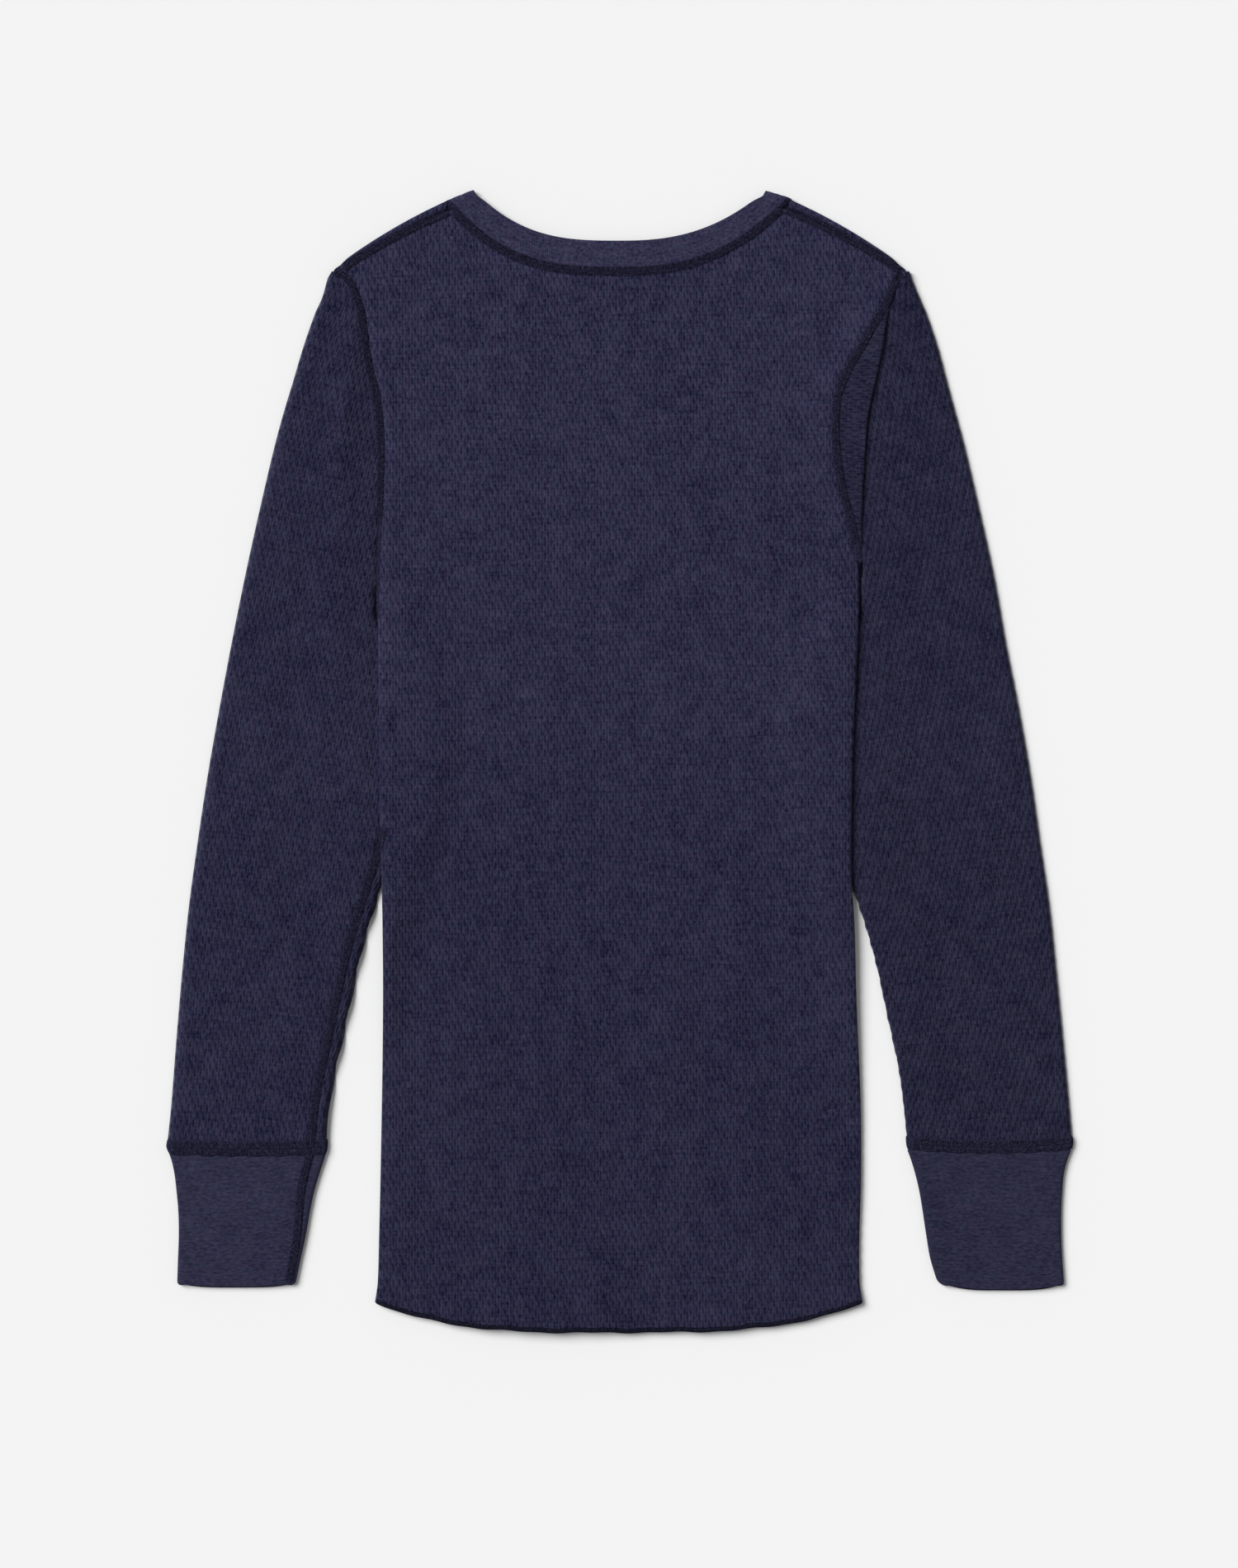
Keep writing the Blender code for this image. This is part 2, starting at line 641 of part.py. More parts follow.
def cuff_row(side, down):
    """One ring of a cuff. down is 0 at the cuff seam and 1 at the end, which is curved."""
    columns = (1, 2) if side < 0 else (3, 4)
    radius = CUFF_LOFT / 2
    level = mix(CUFF_DROP + SEAM_GAP / 2, CUFF_END_DROP[side], down)
    inner = read(CUFF, columns[0], level) + CUFF_CLOTH / 2
    outer = read(CUFF, columns[1], level) - CUFF_CLOTH / 2
    middle, half = (inner + outer) / 2, (outer - inner) / 2
    height = CUFF_CLOTH / 2 + radius
    section = [(x, height + radius) for x in spread(inner + radius, outer - radius, CUFF_STEPS)]
    section += arc(outer - radius, height, radius, 90, -90, FOLD_STEPS)[1:-1]
    section += [(x, height - radius) for x in spread(outer - radius, inner + radius, CUFF_STEPS)]
    section += arc(inner + radius, height, radius, -90, -270, FOLD_STEPS)[1:-1]
    row = []
    for x, z in section:
        rise = CUFF_CORNER_RISE[side] * abs((x - middle) / half) ** 4 * smooth(down, 0.6, 1)
        row.append((side * x, level - rise, z))
    return row


def make_cuff(side, name, finish):
    """A long cuff, a flattened tube that narrows towards the hand."""
    rows = [cuff_row(side, down) for down in (0, 0.08, 0.2, 0.4, 0.65, 0.88, 1)]
    return cloth_piece(name, [rows], CUFF_CLOTH, finish, ring=True)


def main():
    for old in list(bpy.data.objects):
        bpy.data.objects.remove(old, do_unlink=True)
    knit = material("waffle_knit", NAVY, 0.9)
    jersey = material("cuff_jersey", RIB_NAVY, 0.8)
    rib = material("neck_rib", RIB_NAVY, 0.85)
    make_back(knit)
    make_front(knit)
    for side, name in ((-1, "left"), (1, "right")):
        make_sleeve(side, "sleeve_" + name, knit)
        make_cuff(side, "cuff_" + name, jersey)
    make_neckband(rib)


main()
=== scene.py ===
"""Looks of a long-sleeved thermal top in heathered navy waffle knit, laid flat on its front.

Every piece of cloth is a thin closed shell. A surface rule gives the middle of its cloth. The shell's faces
lie on both sides of it: a fine one outside, on a lattice that carries the waffle's hollows, and a coarse one
inside. Drops are distances down the garment from its highest point. A side is -1 on the left and 1 on the
right. Metres throughout.
"""

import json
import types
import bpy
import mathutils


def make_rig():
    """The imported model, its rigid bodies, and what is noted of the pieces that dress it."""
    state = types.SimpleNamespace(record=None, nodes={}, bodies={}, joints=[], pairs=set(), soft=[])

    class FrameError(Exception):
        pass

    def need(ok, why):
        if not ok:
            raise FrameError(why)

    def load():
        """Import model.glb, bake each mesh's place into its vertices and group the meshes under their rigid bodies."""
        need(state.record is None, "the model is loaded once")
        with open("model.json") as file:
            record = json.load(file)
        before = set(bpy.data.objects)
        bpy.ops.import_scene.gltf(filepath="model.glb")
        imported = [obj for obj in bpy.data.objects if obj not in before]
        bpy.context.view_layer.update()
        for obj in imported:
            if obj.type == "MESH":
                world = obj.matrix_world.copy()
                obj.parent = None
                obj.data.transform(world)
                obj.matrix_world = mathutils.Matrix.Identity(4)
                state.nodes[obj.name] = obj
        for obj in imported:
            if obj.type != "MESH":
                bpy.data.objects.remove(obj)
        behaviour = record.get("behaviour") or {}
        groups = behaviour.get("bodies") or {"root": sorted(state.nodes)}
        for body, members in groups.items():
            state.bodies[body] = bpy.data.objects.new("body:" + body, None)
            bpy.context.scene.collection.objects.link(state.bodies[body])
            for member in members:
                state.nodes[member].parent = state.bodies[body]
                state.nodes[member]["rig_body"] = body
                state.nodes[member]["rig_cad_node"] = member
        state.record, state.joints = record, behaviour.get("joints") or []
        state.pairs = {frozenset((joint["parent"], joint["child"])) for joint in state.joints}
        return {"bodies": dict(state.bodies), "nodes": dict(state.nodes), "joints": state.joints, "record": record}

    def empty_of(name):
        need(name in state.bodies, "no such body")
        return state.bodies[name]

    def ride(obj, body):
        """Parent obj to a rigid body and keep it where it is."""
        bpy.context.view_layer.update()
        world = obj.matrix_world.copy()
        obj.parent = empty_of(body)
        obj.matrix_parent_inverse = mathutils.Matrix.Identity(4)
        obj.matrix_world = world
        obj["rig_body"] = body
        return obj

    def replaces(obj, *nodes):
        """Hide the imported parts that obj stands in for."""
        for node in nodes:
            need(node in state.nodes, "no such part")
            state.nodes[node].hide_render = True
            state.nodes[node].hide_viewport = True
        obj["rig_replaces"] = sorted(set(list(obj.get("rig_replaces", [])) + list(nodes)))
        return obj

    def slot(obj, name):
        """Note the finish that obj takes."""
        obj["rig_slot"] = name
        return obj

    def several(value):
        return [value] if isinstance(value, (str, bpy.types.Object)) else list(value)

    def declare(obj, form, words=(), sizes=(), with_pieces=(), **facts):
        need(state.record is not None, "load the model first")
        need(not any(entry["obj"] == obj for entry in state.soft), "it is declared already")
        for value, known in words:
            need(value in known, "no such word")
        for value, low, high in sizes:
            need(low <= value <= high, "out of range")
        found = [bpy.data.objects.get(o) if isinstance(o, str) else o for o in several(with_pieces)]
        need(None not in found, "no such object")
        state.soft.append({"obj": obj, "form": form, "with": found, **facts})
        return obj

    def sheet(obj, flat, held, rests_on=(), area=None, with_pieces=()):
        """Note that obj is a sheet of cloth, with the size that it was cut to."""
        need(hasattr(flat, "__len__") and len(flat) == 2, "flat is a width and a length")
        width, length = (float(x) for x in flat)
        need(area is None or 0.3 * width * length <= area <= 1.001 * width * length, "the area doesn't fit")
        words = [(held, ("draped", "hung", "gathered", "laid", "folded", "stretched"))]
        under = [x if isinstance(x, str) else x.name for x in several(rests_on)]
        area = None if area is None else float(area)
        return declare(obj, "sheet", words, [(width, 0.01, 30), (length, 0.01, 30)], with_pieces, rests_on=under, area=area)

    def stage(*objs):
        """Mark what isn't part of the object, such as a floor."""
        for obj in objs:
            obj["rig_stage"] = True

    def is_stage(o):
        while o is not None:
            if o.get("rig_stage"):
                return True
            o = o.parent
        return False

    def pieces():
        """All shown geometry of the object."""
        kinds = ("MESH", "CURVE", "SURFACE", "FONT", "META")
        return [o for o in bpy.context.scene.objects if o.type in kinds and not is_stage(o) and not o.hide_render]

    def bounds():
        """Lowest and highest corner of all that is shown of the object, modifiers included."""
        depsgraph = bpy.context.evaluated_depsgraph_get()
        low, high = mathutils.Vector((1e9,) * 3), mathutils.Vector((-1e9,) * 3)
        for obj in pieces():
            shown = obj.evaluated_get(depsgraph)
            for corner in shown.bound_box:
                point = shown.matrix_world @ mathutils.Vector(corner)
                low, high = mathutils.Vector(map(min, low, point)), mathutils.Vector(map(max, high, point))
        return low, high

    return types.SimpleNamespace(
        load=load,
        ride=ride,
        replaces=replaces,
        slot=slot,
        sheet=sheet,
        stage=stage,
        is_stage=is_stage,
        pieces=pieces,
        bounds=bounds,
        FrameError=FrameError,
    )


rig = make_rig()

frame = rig.load()

import json
import math

import bpy
import numpy as np
from mathutils import Vector
from mathutils.bvhtree import BVHTree
from mathutils.geometry import delaunay_2d_cdt

CAD_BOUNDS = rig.bounds()

# ------------------------------------------------------------------ sizes of the garment
LENGTH = 0.6645
CLOTH = 0.0012
BAND_CLOTH = 0.0018
CUFF_CLOTH = 0.0016
SEAM_GAP = 0.0006
FLOOR = CLOTH / 2
BODY_LOFT = 0.0030
SLEEVE_LOFT = 0.0024
PRESSED_LOFT = 0.0018
LAYER = 0.0016  # from layer to layer in the pleat
OVER_SLEEVE = PRESSED_LOFT + CLOTH + 0.0005
SHOULDER_HALF = 0.1625
SHOULDER_DROP = 0.0475
UNDERARM_DROP = 0.2256
LOBE_DROP = 0.2476  # below this the sleeves' inner folds pass under the body
CUFF_DROP = 0.5580
HEM_RISE = 0.0173
HEM_POWER = 3.4
HEM_RIPPLES = ((0.00032, 19, 0.6), (0.00022, 43, 0.0))  # height, radians over half the width, start
HEM_TRIM = 0.0004  # how much higher its edge lies, but for the corners
FRONT_HEM_SHORTER = 0.0050
FOLD_LEAN = math.radians(28)
SHOULDER_OVER = (0.0033, 0.0015)  # how far below the turn its seam lies, at the neck and at the armhole
ARMHOLE_LIFT = {-1: 0.0010, 1: 3 * LAYER - BODY_LOFT}
ARMHOLE_LIFT_WIDTH = 0.0220
HALF_LOFT = BODY_LOFT / 2
ROLL_RADIUS = 0.0010
ROLL_TAIL = HALF_LOFT - ROLL_RADIUS - SEAM_GAP / 2
QUARTER = ROLL_RADIUS * math.pi / 2
PLEAT_RADIUS = LAYER / 2
PLEAT_OVERLAP = 0.0003
CUFF_LOFT = SLEEVE_LOFT + CLOTH - CUFF_CLOTH
CUFF_LENGTH = 0.0815

CELL_WIDE = 0.00180  # from a hollow of the waffle to the ridge beside it
CELL_TALL = 0.00410  # from a hollow to the ridge below it
MESH_STEP = np.array([CELL_WIDE, CELL_TALL / 2])
HOLLOW = 0.00032  # depth of the hollows
WAFFLE_DEPTH = 0.00038  # of the relief that only shades the cloth
RIB_DEPTH = 0.00022  # of the neckband's ribs
LOOP_DEPTH = 0.00010  # of the single loops, which only shade the cloth
RIB_PITCH = 0.00120  # ribs of the neckband, measured along it
BAND_FOLD_OUT = 2.0  # how far the neckband's folds stand out, as a share of half their height
BAND_TIP_ROUND = {-1: 0.05, 1: 0.10}  # how far its opening is drawn in at the tips, as a share of its width
BAND_TIP_REACH = 0.0040
RIB_SLANT = 0.58  # how far a rib leans along the band for each unit across it
EDGE_FALL = 0.0015  # how far the back's cloth sinks towards its rolled sides, on the left
EDGE_FALL_RIGHT = 0.6  # its share on the right
EDGE_SOFT = 0.0062  # from how far in it sinks
PRESSED_UNTIL = (0.4000, 0.4500)  # drops over which the body stops pressing on the sleeves
TURN_FROM = 0.096  # distance from the middle past which the front turns up over the shoulders
PLEAT_SHOWN = (0.0535, 0.2175)  # drops between which the pleat is built
SIDE_ROWS_END = 0.6465  # drop to which the back's rolled sides have rows of their own

SEAM_WIDTH = 0.0056
SEAM_RISE = 0.00026  # how high a flat seam's strip stands in its middle
STRIP_STEP = 0.0008  # along the strip, from point to point
STRIP_SUNK = 0.0005  # how far its underside is sunk in the cloth
STRIP_BRIDGE = 0.0006  # to either side of a point, how far it lies on the highest cloth
STRIP_HANG = 1.1  # how steeply it hangs down past the cloth
STRIP_END_FALL = 0.0006  # the same at its ends, from point to point
THREAD_SIDES = 4
ZIGZAG_RADIUS = 0.00013
ROW_RADIUS = 0.00027
DASH_RADIUS = 0.00018
HEM_THREAD_RADIUS = 0.00018
FLAT_PITCH = 0.00135  # stitch length of the flat seams
CUFF_PITCH = 0.0014
HEM_PITCH = 0.00105
# The least heights over the floor, of seams, of the cuffs' seams and of the hems' edges.
FLOOR_CLEARANCE, CUFF_SEAM_CLEARANCE, HEM_CLEARANCE = 0.00005, 0.00004, 0.00003
LOOK_FROM = 0.05  # height from which the cloth's top is looked for
UNDERARM_SEAM_IN = 0.0092  # from the inner fold of the sleeve to its underarm seam
UNDERARM_SEAM_IN_CUFF = 0.0046  # the same on the cuff
UNDERARM_SEAM_OUT = (0.012, 0.050)  # how far below LOBE_DROP it leaves the fold, and is in its place
UNDERARM_SEAM_FROM = 0.370  # drop at which its strip starts
UNDERARM_SEAM_SETTLED = 0.620  # drop by which it is in its place on the cuff
ARMHOLE_HIDDEN = {-1: (0.130, 0.215), 1: (0.205, 0.226)}  # drops over which the body's fold hides its seam
ARMHOLE_OUT = {-1: 0.0019, 1: 0.0}  # how far outside the body's edge the seam lies
ARMHOLE_HALF = {-1: 0.0023, 1: 0.0025}
ARMHOLE_SEWN = {-1: 0.150, 1: 0.170}  # length with threads
HIDDEN_HALF = 0.0010  # half its width where it is hidden
SHOULDER_CORNER = (0.1670, 0.0479)  # where the armhole's seam starts, as distance and drop
CORNER_HALF = 0.0019  # half its width there
SHOULDER_ENDS = ((0.1645, 0.0480), (0.1662, 0.0488))  # the last two points of the shoulder's seam
SHOULDER_UNSEWN = 0.0040  # its last part, without threads

BLUISH = (0.0200, 0.0220, 0.0535, 1)
PURPLISH = (0.0240, 0.0213, 0.0540, 1)
FIBRE_AND_SHEEN_GREY = 0.0235  # how pale the paler fibres are, as a share of full white; the same grey also paints a sheen on the waffle's lighter ridges
SHEEN_TINT = (0.62, 0.66, 0.90, 1)
FLOOR_GREY = 0.876
FLOOR_HALF = 3
FLOOR_BELOW = 0.0001  # so that the lowest cloth lies clear of it
SKY_STRENGTH = 0.28
SUN_STRENGTH = 3.36
SUN_ANGLE = math.radians(38)
SUN_DIRECTION = (0.72, -0.44, -0.82)
LENS_MM = 85
CAMERA_PLACE = (-0.0005, -0.0132, 2.1573)

BODY_EDGE = (
    # drop, left, right
    (0.0475, 0.1625, 0.1625),
    (0.0550, 0.1552, 0.1588),
    (0.0650, 0.1502, 0.1548),
    (0.0780, 0.1474, 0.1474),
    (0.0900, 0.1460, 0.1408),
    (0.1040, 0.1436, 0.1328),
    (0.1180, 0.1398, 0.1270),
    (0.1320, 0.1380, 0.1252),
    (0.1500, 0.1372, 0.1256),
    (0.1720, 0.1380, 0.1286),
    (0.1940, 0.1392, 0.1344),
    (0.2100, 0.1402, 0.1374),
    (0.2256, 0.1408, 0.1392),
    (0.2736, 0.1404, 0.1378),
    (0.3216, 0.1398, 0.1356),
    (0.3696, 0.1394, 0.1346),
    (0.3980, 0.1386, 0.1346),
    (0.4270, 0.1380, 0.1364),
    (0.4700, 0.1378, 0.1376),
    (0.5328, 0.1386, 0.1402),
    (0.5760, 0.1394, 0.1404),
    (0.6096, 0.1402, 0.1394),
    (0.6360, 0.1410, 0.1396),
    (0.6472, 0.1426, 0.1414),
)
FRONT_EDGE = (
    # drop, left, right
    (0.0475, 0.1625, 0.1625),
    (0.0700, 0.1500, 0.1500),
    (0.1000, 0.1375, 0.1375),
    (0.1350, 0.1300, 0.1300),
    (0.1700, 0.1305, 0.1300),
    (0.2000, 0.1352, 0.1345),
    (0.2256, 0.1408, 0.1392),
)
# Outer folds of the sleeves. The first and last rows carry the fold's line on past the cloth's ends.
SLEEVE_OUTER = (
    # drop, left, right
    (0.0355, 0.1652, 0.1652),
    (0.0475, 0.1690, 0.1690),
    (0.0528, 0.1706, 0.1706),
    (0.0624, 0.1733, 0.1745),
    (0.0720, 0.1776, 0.1786),
    (0.0912, 0.1843, 0.1851),
    (0.1104, 0.1900, 0.1902),
    (0.1296, 0.1958, 0.1954),
    (0.1488, 0.2010, 0.2006),
    (0.1872, 0.2100, 0.2096),
    (0.2256, 0.2184, 0.2180),
    (0.2640, 0.2261, 0.2248),
    (0.3024, 0.2333, 0.2324),
    (0.3408, 0.2400, 0.2391),
    (0.3792, 0.2458, 0.2446),
    (0.4176, 0.2510, 0.2502),
    (0.4560, 0.2549, 0.2542),
    (0.4944, 0.2582, 0.2580),
    (0.5328, 0.2612, 0.2616),
    (0.5580, 0.2638, 0.2638),
    (0.5700, 0.2650, 0.2649),
)
SLEEVE_INNER = (
    # drop, left, right
    (0.2476, 0.1409, 0.1390),
    (0.2600, 0.1352, 0.1330),
    (0.2750, 0.1288, 0.1262),
    (0.2950, 0.1238, 0.1205),
    (0.3200, 0.1215, 0.1172),
    (0.3450, 0.1232, 0.1185),
    (0.3750, 0.1292, 0.1252),
    (0.4000, 0.1365, 0.1330),
    (0.4176, 0.1422, 0.1392),
    (0.4368, 0.1480, 0.1452),
    (0.4560, 0.1526, 0.1502),
    (0.4752, 0.1566, 0.1542),
    (0.4944, 0.1608, 0.1584),
    (0.5136, 0.1650, 0.1624),
    (0.5328, 0.1684, 0.1648),
    (0.5580, 0.1706, 0.1672),
)
PLEAT = (
    # drop, outer fold, overlap, how far it is folded
    (0.0475, 0.1655, 0.0000, 0.00),
    (0.0579, 0.1606, 0.0000, 0.20),
    (0.0683, 0.1570, 0.0000, 0.52),
    (0.0788, 0.1548, 0.0000, 0.84),
    (0.0892, 0.1534, 0.0000, 1.00),
    (0.0996, 0.1512, 0.0080, 1.00),
    (0.1100, 0.1490, 0.0098, 1.00),
    (0.1300, 0.1446, 0.0110, 1.00),
    (0.1500, 0.1428, 0.0110, 1.00),
    (0.1750, 0.1413, 0.0000, 1.00),
    (0.1850, 0.1410, 0.0000, 0.92),
    (0.1950, 0.1408, 0.0000, 0.75),
    (0.2050, 0.1409, 0.0000, 0.50),
    (0.2150, 0.1415, 0.0000, 0.22),
    (0.2256, 0.1424, 0.0000, 0.00),
)
CUFF = (
    # drop, left inner, left outer, right inner, right outer
    (0.5580, 0.1704, 0.2634, 0.1672, 0.2630),
    (0.5640, 0.1722, 0.2612, 0.1694, 0.2606),
    (0.5720, 0.1748, 0.2594, 0.1718, 0.2586),
    (0.5820, 0.1778, 0.2582, 0.1742, 0.2576),
    (0.5940, 0.1803, 0.2571, 0.1762, 0.2570),
    (0.6080, 0.1828, 0.2568, 0.1783, 0.2570),
    (0.6240, 0.1860, 0.2573, 0.1808, 0.2576),
    (0.6400, 0.1890, 0.2578, 0.1850, 0.2586),
)
CUFF_END_DROP = {-1: 0.6386, 1: 0.6403}
CUFF_CORNER_RISE = {-1: 0.0022, 1: 0.0036}
SHOULDER_TURN = (
    # distance from the middle, drop
    (0.0975, 0.0066),
    (0.1150, 0.0151),
    (0.1300, 0.0233),
    (0.1450, 0.0325),
    (0.1580, 0.0415),
    (0.1625, 0.0460),
)
# Half width and highest drop on each side, and the drop in the middle of the back and of the front.
NECK_SEAM = {"half": {-1: 0.0995, 1: 0.0975}, "top": {-1: 0.0088, 1: 0.0072},
             "back": 0.0472, "front": 0.0930}
NECK_OPENING = {"half": {-1: 0.0830, 1: 0.0820}, "top": {-1: 0.0020, 1: 0.0024},
                "back": 0.0293, "front": 0.0752}
NECK_POWER = {-1: 3.0, 1: 2.5}
HEM_LIFTS = (
    # centre, half width, lift
    (-0.0560, 0.0420, 0.0028),
    (-0.0120, 0.0200, 0.0014),
    (0.0560, 0.0330, 0.0012),
)
HEM_LIFT_DEPTH = 0.0900
BODY_FORMS = (
    # centre, half width, half length, rise, lean
    ((-0.0917, 0.4656), 0.034, 0.060, -0.0007, 0.10),
    ((0.0859, 0.4800), 0.036, 0.070, -0.0007, -0.12),
    ((-0.0480, 0.3350), 0.026, 0.070, 0.0004, 0.25),
    ((0.0300, 0.1500), 0.050, 0.040, 0.0004, 0.00),
    ((0.0100, 0.5500), 0.022, 0.080, 0.0003, 0.05),
    ((-0.1000, 0.1450), 0.014, 0.060, -0.0004, -0.20),
    ((0.0900, 0.2700), 0.018, 0.055, -0.0004, 0.25),
)
SLEEVE_FORMS = {
    # the same, with distances from the garment's middle
    -1: (
        ((0.1877, 0.4032), 0.022, 0.050, -0.0008, -0.30),
        ((0.1661, 0.4176), 0.009, 0.040, 0.0005, -0.25),
        ((0.1433, 0.1464), 0.0014, 0.024, 0.0006, 0.05),
        ((0.1600, 0.1250), 0.0080, 0.055, 0.0026, 0.08),
        ((0.1640, 0.2300), 0.0100, 0.070, 0.0010, 0.12),
        ((0.1820, 0.1850), 0.010, 0.050, 0.0004, 0.35),
        ((0.2080, 0.3050), 0.008, 0.060, 0.0003, 0.22),
        ((0.2150, 0.5000), 0.030, 0.030, -0.0003, 0.00),
    ),
    1: (
        ((0.1915, 0.2256), 0.0060, 0.036, -0.0004, 0.55),
        ((0.1800, 0.2650), 0.0060, 0.034, -0.0004, 0.60),
        ((0.1960, 0.3900), 0.018, 0.060, -0.0005, 0.25),
        ((0.2200, 0.3300), 0.007, 0.060, 0.0003, 0.22),
        ((0.2000, 0.5050), 0.020, 0.040, -0.0003, 0.10),
    ),
}
CUFF_SEAM_PLACE = {-1: (0.5577, 0.0009), 1: (0.5565, 0.0022)}  # drop in its middle, rise at its ends
CUFF_SEAM_HALF = {-1: 0.0045, 1: 0.0040}
CUFF_CORNERS = {-1: (0.0018, 0.0014), 1: (0.0042, 0.0010)}  # radius at the inner fold and at the outer one


# ------------------------------------------------------------------ small tools
def smooth(value, low, high):
    """0 below low, 1 above high and soft between them. The limits may vary from point to point."""
    share = np.clip((np.asarray(value, dtype=float) - low) / (high - low), 0, 1)
    return share * share * (3 - 2 * share)


def mix(a, b, share):
    return a + (b - a) * share


def read(table, column, where):
    """A table's column on a smooth curve through its rows."""
    knots = np.array([row[0] for row in table])
    values = np.array([row[column] for row in table])
    slopes = np.empty_like(values)
    slopes[1:-1] = (values[2:] - values[:-2]) / (knots[2:] - knots[:-2])
    slopes[0] = (values[1] - values[0]) / (knots[1] - knots[0])
    slopes[-1] = (values[-1] - values[-2]) / (knots[-1] - knots[-2])
    where = np.clip(np.asarray(where, dtype=float), knots[0], knots[-1])
    i = np.clip(np.searchsorted(knots, where, side="right") - 1, 0, len(knots) - 2)
    span = knots[i + 1] - knots[i]
    t = (where - knots[i]) / span
    return (
        values[i] * (2 * t**3 - 3 * t**2 + 1)
        + slopes[i] * span * (t**3 - 2 * t**2 + t)
        + values[i + 1] * (3 * t**2 - 2 * t**3)
        + slopes[i + 1] * span * (t**3 - t**2)
    )


def pick(x, left, right):
    """One value on the left and another on the right, for points on either side."""
    return np.where(np.asarray(x) < 0, left, right)


def by_side(rule, x, drop):
    """A rule that differs between the sides, for points on either side."""
    return pick(x, rule(-1, drop), rule(1, drop))


def column(side):
    return 1 if side < 0 else 2


def ways_along(points):
    """How far along a line each of its points is."""
    return np.concatenate([[0], np.cumsum(np.linalg.norm(np.diff(points, axis=0), axis=1))])


def resampled(points, step):
    """A line's points at even distances of about step, in an even number of steps."""
    points = np.asarray(points, dtype=float)
    length = ways_along(points)
    count = 2 * max(1, round(length[-1] / step / 2))
    where = np.linspace(0, length[-1], count + 1)
    return np.stack([np.interp(where, length, points[:, k]) for k in range(points.shape[1])], axis=1)


# ------------------------------------------------------------------ outlines
def body_edge(side, drop):
    return read(BODY_EDGE, column(side), drop)


def front_edge(side, drop):
    return np.where(np.asarray(drop) >= UNDERARM_DROP, body_edge(side, drop),
                    read(FRONT_EDGE, column(side), drop))


def sleeve_outer(side, drop):
    return read(SLEEVE_OUTER, column(side), drop)


def sleeve_inner(side, drop):
    return np.where(np.asarray(drop) < LOBE_DROP, body_edge(side, drop) + SEAM_GAP,
                    read(SLEEVE_INNER, column(side), drop))


def hem_drop(share):
    """The back hem's drop at a share of the half width, with the small waves of its edge."""
    share = np.asarray(share, dtype=float)
    waves = sum(height * np.sin(rate * share + start) for height, rate, start in HEM_RIPPLES) - HEM_TRIM
    return LENGTH - HEM_RISE * np.abs(share) ** HEM_POWER + waves * (1 - share**8)


def neck_drop(line, x, layer):
    out = []
    for side in (-1, 1):
        share = np.minimum(np.abs(x) / line["half"][side], 1.0)
        out.append(mix(line[layer], line["top"][side], share ** NECK_POWER[side]))
    return pick(x, *out)


def fold_start(side):
    return NECK_SEAM["half"][side] + 2 * SEAM_GAP


def neck_end(side):
    seam_drop = read(SHOULDER_TURN, 1, fold_start(side)) + SHOULDER_OVER[0]
    share = (NECK_SEAM["back"] - seam_drop) / (NECK_SEAM["back"] - NECK_SEAM["top"][side])
    return NECK_SEAM["half"][side] * share ** (1 / NECK_POWER[side])


def back_roll(side, drop):
    if side < 0:
        return smooth(drop, SHOULDER_DROP + 0.008, SHOULDER_DROP + 0.032)
    return smooth(drop, UNDERARM_DROP - 0.012, UNDERARM_DROP + 0.006)


def front_roll(side, drop):
    return smooth(drop, UNDERARM_DROP, UNDERARM_DROP + 0.012)


def rolled(past, roll):
    """Distance and depth of a point on a rolling edge, past where the roll starts."""
    flat = QUARTER * (1 - roll)
    angle = np.clip((past - flat) / ROLL_RADIUS, 0, roll * math.pi / 2)
    tail = np.maximum(past - QUARTER, 0)
    distance = np.minimum(past, flat) + ROLL_RADIUS * np.sin(angle) + tail * np.cos(angle)
    return distance, ROLL_RADIUS * (1 - np.cos(angle)) + tail * np.sin(angle)


def roll_start(edge, roll):
    turned_in = edge - mix(SEAM_GAP / 2, CLOTH / 2, roll)
    return turned_in - rolled(QUARTER + ROLL_TAIL, roll)[0]


SHOULDER_INNER = float(roll_start(SHOULDER_HALF, 0.0))


# ------------------------------------------------------------------ heights
def over_sleeve(x, drop, reach):
    """1 where the body lies on a sleeve, falling to 0 over reach just inside the sleeve's inner fold."""
    inner = by_side(sleeve_inner, x, np.maximum(drop, LOBE_DROP)) - 0.010
    across = smooth(np.abs(x), inner - reach, inner)
    return across * smooth(drop, UNDERARM_DROP + 0.002, LOBE_DROP - 0.001)


def front_height(x, drop):
    return FLOOR + OVER_SLEEVE * over_sleeve(x, drop, 0.016)


def mound(x, drop, centre, half_wide, half_tall, rise, lean):
    """A soft rise or hollow. Its long way leans from upright by that angle."""
    across, down = np.asarray(x) - centre[0], np.asarray(drop) - centre[1]
    turned = across * math.cos(lean) - down * math.sin(lean)
    along = across * math.sin(lean) + down * math.cos(lean)
    return rise * np.exp(-((turned / half_wide) ** 2) - (along / half_tall) ** 2)


def body_forms(x, drop):
    """Soft hollows and ridges of the back."""
    return sum(mound(x, drop, *form) for form in BODY_FORMS)


